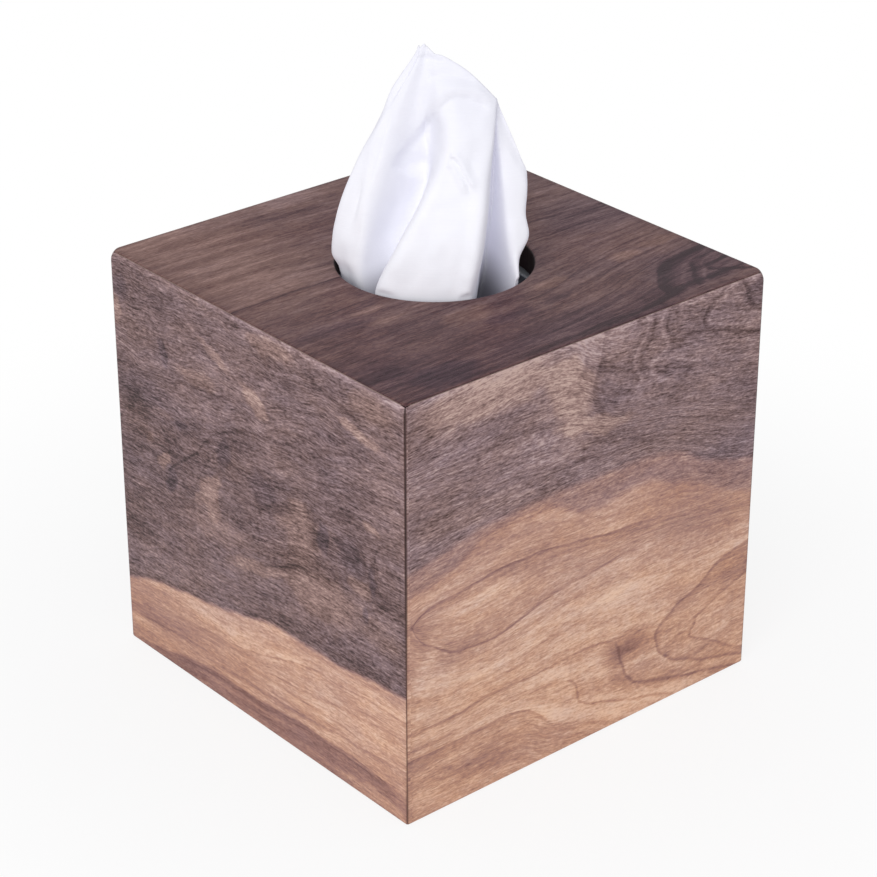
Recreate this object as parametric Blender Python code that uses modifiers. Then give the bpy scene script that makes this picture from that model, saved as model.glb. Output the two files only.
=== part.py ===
"""Walnut tissue box cover standing over its tissue carton.

Five walnut boards are mitred to each other on every edge and held by loose splines hidden in the mitres.
The cover is open below and lifts off straight up. Under it stand the carton, its block of folded tissues
and the tissue that is drawn up through the carton's mouth and the round hole in the cover.

Metres, +Z up. The origin is the middle of the footprint, on the surface that the cover stands on.
The front board faces -Y and the left board faces -X.
"""

from math import cos, pi, radians, sin, sqrt

import bmesh
import bpy
from mathutils import Matrix, Vector

# Carton, which the cover is made to fit
CARTON_WIDTH = 0.110
CARTON_DEPTH = 0.110
CARTON_HEIGHT = 0.125
BOARD_THICKNESS = 0.0006
CARTON_CORNER_RADIUS = 0.0015
MOUTH_MARGIN = 0.0015

# Cover
SIDE_CLEARANCE = 0.006
HEADROOM = 0.003
WALL = 0.009
HOLE_DIAMETER = 0.060
HOLE_EASE = 0.001
ARRIS_RADIUS = 0.0008

# Splines in the mitres
SPLINE_THICKNESS = 0.002
SPLINE_SKIN = 0.0019
SPLINE_STOP = 0.013
SPLINE_EASE = 0.0003
SPLINE_SET_SHARE = 0.62

# Block of folded tissues
STACK_SIDE_CLEARANCE = 0.002
STACK_HEADSPACE = 0.017
STACK_CROWN_RADIUS = 0.026
STACK_EDGE_RADIUS = 0.0012

# Drawn tissue
TISSUE_RISE = 0.070
TISSUE_THICKNESS = 0.0006
TISSUE_CLEARANCE = 0.0004
TISSUE_TURN_DEGREES = -40.4
NECK_SHARE = 0.74

# Clearances shared by all pieces
SEAT_GAP = 0.0003
CUT_OVERRUN = 0.002
MERGE_DISTANCE = 0.00001

# Counts
ARRIS_SEGMENTS = 3
CARTON_CORNER_SEGMENTS = 2
CROWN_SEGMENTS = 8
HOLE_STEPS = 96
COLUMNS_PER_SPAN = 3
ROWS_BELOW = 4
ROWS_ABOVE = 10

# Edges that turn more than this stay hard, and edges this nearly parallel to a direction run along it
HARD_EDGE_DEGREES = 35
NEARLY_PARALLEL_SHARE = 0.99

# Worked out from the sizes above
COVER_WIDTH = CARTON_WIDTH + 2 * (SIDE_CLEARANCE + WALL)
COVER_DEPTH = CARTON_DEPTH + 2 * (SIDE_CLEARANCE + WALL)
COVER_HEIGHT = CARTON_HEIGHT + HEADROOM + WALL
HOLE_RADIUS = HOLE_DIAMETER / 2
STACK_TOP = CARTON_HEIGHT - STACK_HEADSPACE
SPLINE_SET = WALL * SPLINE_SET_SHARE
SLOT_THICKNESS = SPLINE_THICKNESS + 2 * SEAT_GAP
SLOT_DEPTH = sqrt(2) * (SPLINE_SET - SPLINE_SKIN) - SLOT_THICKNESS / 2
FREE_RADIUS = HOLE_RADIUS - TISSUE_CLEARANCE - TISSUE_THICKNESS / 2

# Outward directions of the five boards
UP = Vector((0, 0, 1))
OUTWARD = {
    "front": Vector((0, -1, 0)),
    "back": Vector((0, 1, 0)),
    "left": Vector((-1, 0, 0)),
    "right": Vector((1, 0, 0)),
    "top": UP,
}
HALF_SIZE = {
    "front": COVER_DEPTH / 2,
    "back": COVER_DEPTH / 2,
    "left": COVER_WIDTH / 2,
    "right": COVER_WIDTH / 2,
    "top": COVER_HEIGHT / 2,
}
CORNERS = (("front", "left"), ("front", "right"), ("back", "left"), ("back", "right"))

# Each fold line of the tissue, from one side edge round to the other: the height of its top as a share
# of the rise, then its place to the right and forward, as shares of the free radius, where it passes the
# hole, low down, high up and at its top.
FOLD_LINE_SHARES = {
    "inner_edge": (0.55, (0.12, -0.18), (0.11, -0.16), (0.09, -0.14), (0.07, -0.12)),
    "back_left": (0.68, (-0.50, -0.20), (-0.46, -0.18), (-0.39, -0.14), (-0.30, -0.10)),
    "left_turn": (0.965, (-0.985, 0.06), (-0.915, 0.03), (-0.58, 0.00), (-0.178, 0.00)),
    "left_panel": (1.0, (-0.85, 0.49), (-0.70, 0.36), (-0.38, 0.17), (-0.108, 0.02)),
    "tuck_inner": (0.98, (-0.28, 0.66), (-0.02, 0.45), (-0.06, 0.235), (-0.04, 0.04)),
    "tuck_outer": (0.955, (-0.57, 0.80), (-0.25, 0.585), (0.04, 0.30), (0.05, 0.06)),
    "front_left": (0.915, (-0.22, 0.955), (0.00, 0.66), (0.19, 0.345), (0.19, 0.09)),
    "front_middle": (0.857, (0.15, 0.965), (0.26, 0.69), (0.37, 0.40), (0.39, 0.13)),
    "valley_left_lip": (0.776, (0.44, 0.84), (0.485, 0.62), (0.545, 0.37), (0.563, 0.16)),
    "valley_floor": (0.745, (0.51, 0.14), (0.545, 0.14), (0.59, 0.13), (0.60, 0.08)),
    "valley_right_lip": (0.70, (0.72, 0.60), (0.70, 0.47), (0.67, 0.28), (0.65, 0.10)),
    "right_turn": (0.575, (0.94, 0.12), (0.945, 0.11), (0.915, 0.07), (0.775, 0.00)),
    "back_right": (0.52, (0.55, -0.26), (0.53, -0.24), (0.47, -0.20), (0.40, -0.17)),
    "outer_edge": (0.46, (-0.15, -0.34), (-0.14, -0.32), (-0.12, -0.28), (-0.10, -0.25)),
}
STATION_SHARES = (0.0, 0.33, 0.70, 1.0)

# Colours, roughness
FINISHES = {
    "walnut": ((0.30, 0.19, 0.13, 1.0), 0.50),
    "spline_ply": ((0.62, 0.46, 0.30, 1.0), 0.60),
    "paperboard": ((0.62, 0.64, 0.66, 1.0), 0.65),
    "tissue": ((0.93, 0.93, 0.95, 1.0), 0.90),
}


def clear_scene():
    """Remove the objects that a new file starts with."""
    for old in list(bpy.data.objects):
        bpy.data.objects.remove(old, do_unlink=True)


def new_collection(name):
    """A collection linked to the scene."""
    made = bpy.data.collections.new(name)
    bpy.context.scene.collection.children.link(made)
    return made


def new_material(name, finish):
    """A Principled material for one piece."""
    colour, roughness = FINISHES[finish]
    made = bpy.data.materials.new(name)
    made.use_nodes = True
    made.diffuse_color = colour
    shader = made.node_tree.nodes["Principled BSDF"]
    shader.inputs["Base Color"].default_value = colour
    shader.inputs["Roughness"].default_value = roughness
    shader.inputs["Metallic"].default_value = 0.0
    return made


def new_object(name, bm, collection, finish=None, parent=None):
    """Turn a bmesh into a named object, with its own material where a finish is given."""
    mesh = bpy.data.meshes.new(name)
    bmesh.ops.recalc_face_normals(bm, faces=bm.faces[:])
    bm.to_mesh(mesh)
    bm.free()
    made = bpy.data.objects.new(name, mesh)
    collection.objects.link(made)
    if finish:
        mesh.materials.append(new_material(name + "_finish", finish))
    if parent:
        made.parent = parent
    return made


def new_empty(name, collection):
    """An empty on the line that its pieces slide along."""
    made = bpy.data.objects.new(name, None)
    made.empty_display_size = WALL
    collection.objects.link(made)
    return made


def as_cutter(made):
    """Mark an object as a cutter."""
    made.hide_render = True
    made.display_type = "WIRE"
    return made


def cut_with(made, cutter):
    """Cut one object out of another."""
    cut = made.modifiers.new(cutter.name, "BOOLEAN")
    cut.operation = "DIFFERENCE"
    cut.solver = "EXACT"
    cut.object = cutter


def block(size, centre):
    """A bmesh box of the given size around a centre."""
    bm = bmesh.new()
    bmesh.ops.create_cube(bm, size=1.0)
    bmesh.ops.scale(bm, vec=size, verts=bm.verts)
    bmesh.ops.translate(bm, vec=centre, verts=bm.verts)
    return bm


def round_edges(bm, edges, radius, segments):
    """Round the given edges of a bmesh."""
    bmesh.ops.bevel(bm, geom=edges, offset=radius, offset_type="OFFSET", segments=segments,
                    profile=0.5, affect="EDGES", clamp_overlap=True)


def edges_along(bm, direction, above):
    """The edges that run along a direction and lie above a height."""
    found = []
    for edge in bm.edges:
        start, end = (vert.co for vert in edge.verts)
        parallel = abs((end - start).normalized().dot(direction)) > NEARLY_PARALLEL_SHARE
        if parallel and (start.z + end.z) / 2 > above:
            found.append(edge)
    return found


def slice_off(bm, point, keep):
    """Cut a closed bmesh at a plane, keep the side that the direction points to, and close it."""
    geom = bm.verts[:] + bm.edges[:] + bm.faces[:]
    bmesh.ops.bisect_plane(bm, geom=geom, plane_co=point, plane_no=keep, clear_inner=True)
    rim = [edge for edge in bm.edges if edge.is_boundary]
    bmesh.ops.edgeloop_fill(bm, edges=rim)


def cover_centre():
    """The middle of the cover's block."""
    return UP * (COVER_HEIGHT / 2)


def shared_edge(one, other):
    """The middle of the outer edge that two boards share."""
    return cover_centre() + OUTWARD[one] * HALF_SIZE[one] + OUTWARD[other] * HALF_SIZE[other]


def neighbours(side):
    """The boards that a board is mitred to."""
    return [other for other in OUTWARD if OUTWARD[other].dot(OUTWARD[side]) == 0]


def board(side, collection, parent):
    """One board: the rounded outer block cut at the board's inner face and at its mitres."""
    bm = block((COVER_WIDTH, COVER_DEPTH, COVER_HEIGHT), cover_centre())
    round_edges(bm, bm.edges[:], ARRIS_RADIUS, ARRIS_SEGMENTS)
    outward = OUTWARD[side]
    slice_off(bm, cover_centre() + outward * (HALF_SIZE[side] - WALL), outward)
    for other in neighbours(side):
        across = (outward - OUTWARD[other]).normalized()
        slice_off(bm, shared_edge(side, other) + across * (SEAT_GAP / 2), across)
    return new_object(side + "_panel", bm, collection, "walnut", parent)


def spline_frame(one, other):
    """Length, width and thickness directions of the spline in a mitre, as a turn."""
    width = (OUTWARD[one] - OUTWARD[other]).normalized()
    thickness = (OUTWARD[one] + OUTWARD[other]).normalized()
    length = width.cross(thickness)
    return Matrix((length, width, thickness)).transposed().to_4x4()


def mitre_length(one, other):
    """The length of the outer edge that two boards share."""
    along = OUTWARD[one].cross(OUTWARD[other])
    return Vector((COVER_WIDTH, COVER_DEPTH, COVER_HEIGHT)).dot(Vector(map(abs, along)))


def spline_bar(one, other, growth):
    """The bar of a spline, or with growth the slot for it, seated across a mitre."""
    length = mitre_length(one, other) - 2 * SPLINE_STOP + 2 * growth
    width = 2 * (SLOT_DEPTH - SEAT_GAP) + 2 * growth
    thickness = SPLINE_THICKNESS + 2 * growth
    bm = block((length, width, thickness), (0, 0, 0))
    inward = (OUTWARD[one] + OUTWARD[other]) * -SPLINE_SET
    place = Matrix.Translation(shared_edge(one, other) + inward)
    bmesh.ops.transform(bm, matrix=place @ spline_frame(one, other), verts=bm.verts)
    return bm


def spline(name, one, other, boards, pieces, cutters, parent):
    """A loose spline, and its slot in both boards."""
    bar = spline_bar(one, other, 0)
    round_edges(bar, bar.edges[:], SPLINE_EASE, 1)
    new_object(name, bar, pieces, "spline_ply", parent)
    slot = as_cutter(new_object(name + "_slot", spline_bar(one, other, SEAT_GAP), cutters, None, parent))
    cut_with(boards[one], slot)
    cut_with(boards[other], slot)


def arc(centre, radius, start, end, steps):
    """Points of a round stretch of a profile, from one angle to another."""
    for step in range(steps + 1):
        angle = start + (end - start) * step / steps
        yield Vector((centre[0] + radius * cos(angle), 0, centre[1] + radius * sin(angle)))


def hole_cutter(collection, parent):
    """The turned cutter of the round hole, flared where the hole's two rims are eased."""
    top = COVER_HEIGHT
    under = COVER_HEIGHT - WALL
    flare = HOLE_RADIUS + HOLE_EASE
    profile = [Vector((0, 0, top + CUT_OVERRUN)), Vector((flare, 0, top + CUT_OVERRUN))]
    profile += arc((flare, top - HOLE_EASE), HOLE_EASE, pi / 2, pi, ARRIS_SEGMENTS)
    profile += arc((flare, under + HOLE_EASE), HOLE_EASE, pi, pi * 3 / 2, ARRIS_SEGMENTS)
    profile += [Vector((flare, 0, under - CUT_OVERRUN)), Vector((0, 0, under - CUT_OVERRUN))]
    bm = bmesh.new()
    verts = [bm.verts.new(point) for point in profile]
    for start, end in zip(verts, verts[1:]):
        bm.edges.new((start, end))
    made = as_cutter(new_object("tissue_hole", bm, collection, None, parent))
    turn = made.modifiers.new("turn", "SCREW")
    turn.angle = 2 * pi
    turn.steps = HOLE_STEPS
    turn.render_steps = HOLE_STEPS
    turn.use_merge_vertices = True
    turn.merge_threshold = MERGE_DISTANCE
    return made


def carton_shell(pieces, cutters, parent):
    """The folded carton: a thin-walled box with a round mouth in its top."""
    size = (CARTON_WIDTH, CARTON_DEPTH, CARTON_HEIGHT)
    bm = block(size, UP * (CARTON_HEIGHT / 2))
    round_edges(bm, edges_along(bm, UP, 0), CARTON_CORNER_RADIUS, CARTON_CORNER_SEGMENTS)
    made = new_object("carton_shell", bm, pieces, "paperboard", parent)
    wall = made.modifiers.new("board", "SOLIDIFY")
    wall.thickness = BOARD_THICKNESS
    wall.offset = -1.0
    wall.use_even_offset = True
    mouth = bmesh.new()
    radius = HOLE_RADIUS + MOUTH_MARGIN
    bmesh.ops.create_cone(mouth, cap_ends=True, segments=HOLE_STEPS // 2, radius1=radius, radius2=radius,
                          depth=BOARD_THICKNESS + 2 * CUT_OVERRUN)
    bmesh.ops.translate(mouth, vec=UP * (CARTON_HEIGHT - BOARD_THICKNESS / 2), verts=mouth.verts)
    cut_with(made, as_cutter(new_object("carton_mouth", mouth, cutters, None, parent)))
    return made


def tissue_stack(pieces, parent):
    """The block of folded tissues, bent over so that its top is crowned from left to right."""
    floor = BOARD_THICKNESS + SEAT_GAP
    inset = 2 * (BOARD_THICKNESS + STACK_SIDE_CLEARANCE)
    size = (CARTON_WIDTH - inset, CARTON_DEPTH - inset, STACK_TOP - floor)
    bm = block(size, UP * ((STACK_TOP + floor) / 2))
    round_edges(bm, edges_along(bm, OUTWARD["back"], STACK_TOP / 2), STACK_CROWN_RADIUS, CROWN_SEGMENTS)
    low = [edge for edge in bm.edges if all(vert.co.z < STACK_TOP / 2 for vert in edge.verts)]
    round_edges(bm, low, STACK_EDGE_RADIUS, 1)
    return new_object("tissue_stack", bm, pieces, "tissue", parent)


def blend(values, place):
    """A smooth curve through values that lie one apart, read at a place (Catmull-Rom)."""
    last = len(values) - 1
    start = min(int(place), last - 1)
    t = place - start
    before, here = values[max(start - 1, 0)], values[start]
    after, beyond = values[start + 1], values[min(start + 2, last)]
    return ((here * 2) + (after - before) * t + (before * 2 - here * 5 + after * 4 - beyond) * t ** 2
            + (here * 3 - before - after * 3 + beyond) * t ** 3) / 2


def along_fold_line(line, rise_share):
    """Place of one fold line, right and forward, at a share of its own height above the hole."""
    stations = [Vector(station) for station in line[1:]]
    for index in range(len(STATION_SHARES) - 1):
        low, high = STATION_SHARES[index], STATION_SHARES[index + 1]
        if rise_share <= high:
            break
    return blend(stations, index + (rise_share - low) / (high - low))


def tissue_point(column, row):
    """The point of the sheet at a column of the fold lines and a row of the mesh."""
    lines = list(FOLD_LINE_SHARES.values())
    foot = STACK_TOP + SEAT_GAP
    if row < ROWS_BELOW:
        up_share = row / ROWS_BELOW
        narrow = NECK_SHARE + (1 - NECK_SHARE) * up_share ** 2 * (3 - 2 * up_share)
        places = [along_fold_line(line, 0) * narrow for line in lines]
        height = foot + (COVER_HEIGHT - foot) * up_share
    else:
        rise_share = (row - ROWS_BELOW) / ROWS_ABOVE
        places = [along_fold_line(line, rise_share) for line in lines]
        tops = [line[0] for line in lines]
        height = COVER_HEIGHT + TISSUE_RISE * blend(tops, column) * rise_share
    place = blend(places, column)
    if place.length > 1:
        place.normalize()
    return Vector((place.x * FREE_RADIUS, -place.y * FREE_RADIUS, height))


def drawn_tissue(pieces, parent):
    """The tissue that stands up through the mouth and the hole, gathered into its main folds."""
    spans = len(FOLD_LINE_SHARES) - 1
    columns = spans * COLUMNS_PER_SPAN
    rows = ROWS_BELOW + ROWS_ABOVE
    bm = bmesh.new()
    bmesh.ops.create_grid(bm, x_segments=columns, y_segments=rows, size=1.0)
    for vert in bm.verts:
        column = (vert.co.x + 1) / 2 * spans
        row = round((vert.co.y + 1) / 2 * rows)
        vert.co = tissue_point(column, row)
    turn = Matrix.Rotation(radians(TISSUE_TURN_DEGREES), 3, "Z")
    bmesh.ops.rotate(bm, verts=bm.verts, cent=(0, 0, 0), matrix=turn)
    made = new_object("drawn_tissue", bm, pieces, "tissue", parent)
    sheet = made.modifiers.new("sheet", "SOLIDIFY")
    sheet.thickness = TISSUE_THICKNESS
    sheet.offset = 0.0
    return made


def shade_round_faces(made):
    """Shade a piece smooth, with its hard edges kept."""
    made.data.shade_smooth()
    made.data.set_sharp_from_angle(angle=radians(HARD_EDGE_DEGREES))


def build():
    """Make every piece in its place."""
    clear_scene()
    pieces = new_collection("tissue_box_cover")
    cutters = new_collection("cutters")
    cover = new_empty("cover_lift_line", pieces)
    carton = new_empty("carton_stand", pieces)
    tissue = new_empty("tissue_pull_line", pieces)

    boards = {side: board(side, pieces, cover) for side in OUTWARD}
    for one, other in CORNERS:
        spline(f"corner_spline_{one}_{other}", one, other, boards, pieces, cutters, cover)
    for side in neighbours("top"):
        spline(f"top_spline_{side}", "top", side, boards, pieces, cutters, cover)
    cut_with(boards["top"], hole_cutter(cutters, cover))

    carton_shell(pieces, cutters, carton)
    tissue_stack(pieces, carton)
    drawn_tissue(pieces, tissue)

    for made in pieces.objects:
        if made.type == "MESH":
            shade_round_faces(made)


build()
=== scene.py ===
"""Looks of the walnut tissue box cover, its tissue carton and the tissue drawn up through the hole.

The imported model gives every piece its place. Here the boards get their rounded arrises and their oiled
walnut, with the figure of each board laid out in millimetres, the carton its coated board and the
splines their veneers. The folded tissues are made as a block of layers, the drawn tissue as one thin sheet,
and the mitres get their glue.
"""

from math import cos, pi, radians, sin
from random import Random

import bmesh
import bpy
from mathutils import Matrix, Vector, noise


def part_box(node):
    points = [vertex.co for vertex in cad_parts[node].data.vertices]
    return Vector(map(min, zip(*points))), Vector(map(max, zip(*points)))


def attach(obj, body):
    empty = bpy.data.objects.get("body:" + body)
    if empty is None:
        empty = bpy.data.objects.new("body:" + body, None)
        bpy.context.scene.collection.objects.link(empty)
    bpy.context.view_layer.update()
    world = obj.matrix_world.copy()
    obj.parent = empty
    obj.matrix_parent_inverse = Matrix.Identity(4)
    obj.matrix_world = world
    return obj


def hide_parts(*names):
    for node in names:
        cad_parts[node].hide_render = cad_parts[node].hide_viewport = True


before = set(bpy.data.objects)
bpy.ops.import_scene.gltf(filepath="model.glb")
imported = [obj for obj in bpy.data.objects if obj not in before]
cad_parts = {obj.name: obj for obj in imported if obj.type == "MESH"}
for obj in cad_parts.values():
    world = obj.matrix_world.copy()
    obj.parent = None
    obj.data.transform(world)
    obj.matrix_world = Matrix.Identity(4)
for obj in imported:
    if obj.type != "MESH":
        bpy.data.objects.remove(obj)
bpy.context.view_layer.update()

MM = 0.001
MERGE = 0.002 * MM

# Tone at the pale end of every ramp
TONE_SPAN = 1.2

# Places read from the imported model
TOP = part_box("top_panel")[1].z
HALF_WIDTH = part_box("right_panel")[1].x
TISSUE_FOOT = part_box("drawn_tissue")[0].z

# Board coordinates run across from the middle of the board and up from its lower edge, in millimetres, and
# on the top both run from the middle
HALF_BOARD = HALF_WIDTH / MM
BOARD_HEIGHT = TOP / MM

# Hole in the cover
HOLE_RADIUS = 30.0 * MM

# Camera
CAMERA_PLACE = Vector((-0.49210, -0.57976, 0.46909))
CAMERA_ELEVATION = 27.309
CAMERA_AZIMUTH = -40.413
CAMERA_LENS = 112.99
CAMERA_SENSOR = 36.0
CAMERA_NEAR = 0.01

# Light and floor
SKY_STRENGTH = 0.62
SKY_COLOUR = (0.96, 0.96, 1.0, 1.0)
KEY_DISTANCE = 1.6
KEY_SIZE = 1.1
KEY_POWER = 13.0
KEY_COLOUR = (1.0, 0.99, 0.975)
KEY_DIRECTION = Vector((-0.67, -0.47, 0.58))
FLOOR_RADIUS = 4.0
FLOOR_STEPS = 96
FLOOR_COLOUR = (0.90, 0.90, 0.90, 1.0)
FLOOR_FADE = (0.09, 0.30)
FLOOR_WHITE_SHARE = 0.82
WHITE = (1.0, 1.0, 1.0, 1.0)
BLACK = (0.0, 0.0, 0.0, 1.0)


def srgb(red, green, blue):
    """A colour from its 0 to 255 screen values, as the linear colour that the shader takes."""
    linear = []
    for value in (red, green, blue):
        share = value / 255
        linear.append(share / 12.92 if share <= 0.04045 else ((share + 0.055) / 1.055) ** 2.4)
    return (*linear, 1.0)


class Wire:
    """One output of a finish's nodes, so that shader sums are written as plain expressions."""

    def __init__(self, finish, socket):
        self.finish = finish
        self.socket = socket

    def __add__(self, other):
        return self.finish.maths("ADD", self, other)

    def __sub__(self, other):
        return self.finish.maths("SUBTRACT", self, other)

    def __rsub__(self, other):
        return self.finish.maths("SUBTRACT", other, self)

    def __mul__(self, other):
        return self.finish.maths("MULTIPLY", self, other)

    def __truediv__(self, other):
        return self.finish.maths("DIVIDE", self, other)

    def __pow__(self, other):
        return self.finish.maths("POWER", self, other)

    __radd__ = __add__
    __rmul__ = __mul__


class Finish:
    """A material with its node tree."""

    def __init__(self, name, **constants):
        self.material = bpy.data.materials.new(name)
        self.material.use_nodes = True
        self.tree = self.material.node_tree
        self.shader = self.tree.nodes["Principled BSDF"]
        for socket, value in constants.items():
            self.shader.inputs[socket.replace("_", " ")].default_value = value

    def node(self, kind, settings=None, inputs=None, output=0):
        """Any node: its settings are set first, then the values or wires of its inputs."""
        made = self.tree.nodes.new(kind)
        for name, value in (settings or {}).items():
            if name == "stops":
                self.set_stops(made.color_ramp, value)
            elif name == "places":
                self.set_places(made.mapping, value)
            else:
                setattr(made, name, value)
        for name, value in (inputs or {}).items():
            self.feed(made.inputs[name], value)
        return Wire(self, made.outputs[output])

    def feed(self, socket, value):
        """Link a wire to a socket, or set its value."""
        if isinstance(value, Wire):
            self.tree.links.new(value.socket, socket)
        else:
            socket.default_value = value

    def paint(self, **inputs):
        """Feed the shader's own sockets."""
        for name, value in inputs.items():
            self.feed(self.shader.inputs[name.replace("_", " ")], value)

    @staticmethod
    def set_stops(ramp, stops):
        """Colours of a ramp, each with its place."""
        for index, (place, colour) in enumerate(stops):
            share = place / TONE_SPAN
            stop = ramp.elements[index] if index < 2 else ramp.elements.new(share)
            stop.position = share
            stop.color = colour

    @staticmethod
    def set_places(mapping, places):
        """Places of a drawn curve, as shares of its width and height; it runs on level past its ends."""
        mapping.use_clip = False
        mapping.extend = "HORIZONTAL"
        curve = mapping.curves[0]
        for index, place in enumerate(places):
            point = curve.points[index] if index < 2 else curve.points.new(*place)
            point.location = place
        mapping.update()

    def maths(self, operation, *values, clamp=False):
        """A sum on wires and numbers."""
        settings = {"operation": operation, "use_clamp": clamp}
        return self.node("ShaderNodeMath", settings, dict(enumerate(values)))

    def smooth(self, value, start, end, low=0.0, high=1.0):
        """A smooth step from low at start to high at end."""
        inputs = {"Value": value, "From Min": start, "From Max": end, "To Min": low, "To Max": high}
        return self.node("ShaderNodeMapRange", {"interpolation_type": "SMOOTHSTEP"}, inputs)

    def place(self, x, y, z=0.0):
        """A place from its three coordinates."""
        return self.node("ShaderNodeCombineXYZ", None, {"X": x, "Y": y, "Z": z})

    def noise(self, x, y, seed, detail=2.0, roughness=0.5):
        """Smooth noise around zero, about one unit from crest to crest."""
        inputs = {"Vector": self.place(x, y, seed), "Scale": 1.0, "Detail": detail, "Roughness": roughness}
        return self.node("ShaderNodeTexNoise", {"noise_dimensions": "3D"}, inputs) - 0.5

    def mix(self, factor, first, second):
        """One colour turning into another."""
        return self.node("ShaderNodeMix", {"data_type": "RGBA"}, {0: factor, 6: first, 7: second}, 2)

    def ramp(self, value, stops):
        """A colour looked up along a ramp."""
        return self.node("ShaderNodeValToRGB", {"stops": stops}, {"Fac": value / TONE_SPAN})

    def bump(self, height, distance):
        """A normal from a height, in metres."""
        return self.node("ShaderNodeBump", None, {"Height": height, "Distance": distance, "Strength": 1.0})

    def object_place(self):
        """The three object coordinates in millimetres."""
        coordinates = self.node("ShaderNodeTexCoord", None, None, "Object")
        split = self.node("ShaderNodeSeparateXYZ", None, {0: coordinates})
        outputs = split.socket.node.outputs
        return [Wire(self, outputs[axis]) * (1 / MM) for axis in "XYZ"]


# Walnut tones from dark to pale: of the sapwood, of the grey heartwood and of the browner top board
SAPWOOD = (
    (0.30, srgb(124, 90, 84)),
    (0.48, srgb(146, 111, 101)),
    (0.60, srgb(161, 124, 112)),
    (0.72, srgb(177, 138, 119)),
    (0.86, srgb(195, 156, 133)),
    (1.00, srgb(215, 180, 155)),
    (1.15, srgb(230, 201, 178)),
)
HEARTWOOD = (
    (0.00, srgb(54, 41, 40)),
    (0.18, srgb(84, 66, 65)),
    (0.34, srgb(105, 85, 84)),
    (0.46, srgb(122, 102, 101)),
    (0.56, srgb(134, 113, 112)),
    (0.68, srgb(148, 126, 125)),
    (0.84, srgb(169, 147, 145)),
    (1.00, srgb(190, 170, 166)),
)
TOP_HEARTWOOD = (
    (0.00, srgb(52, 34, 38)),
    (0.14, srgb(69, 47, 51)),
    (0.28, srgb(88, 63, 65)),
    (0.38, srgb(102, 77, 76)),
    (0.50, srgb(116, 91, 88)),
    (0.66, srgb(137, 112, 109)),
    (0.85, srgb(163, 138, 135)),
)


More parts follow.
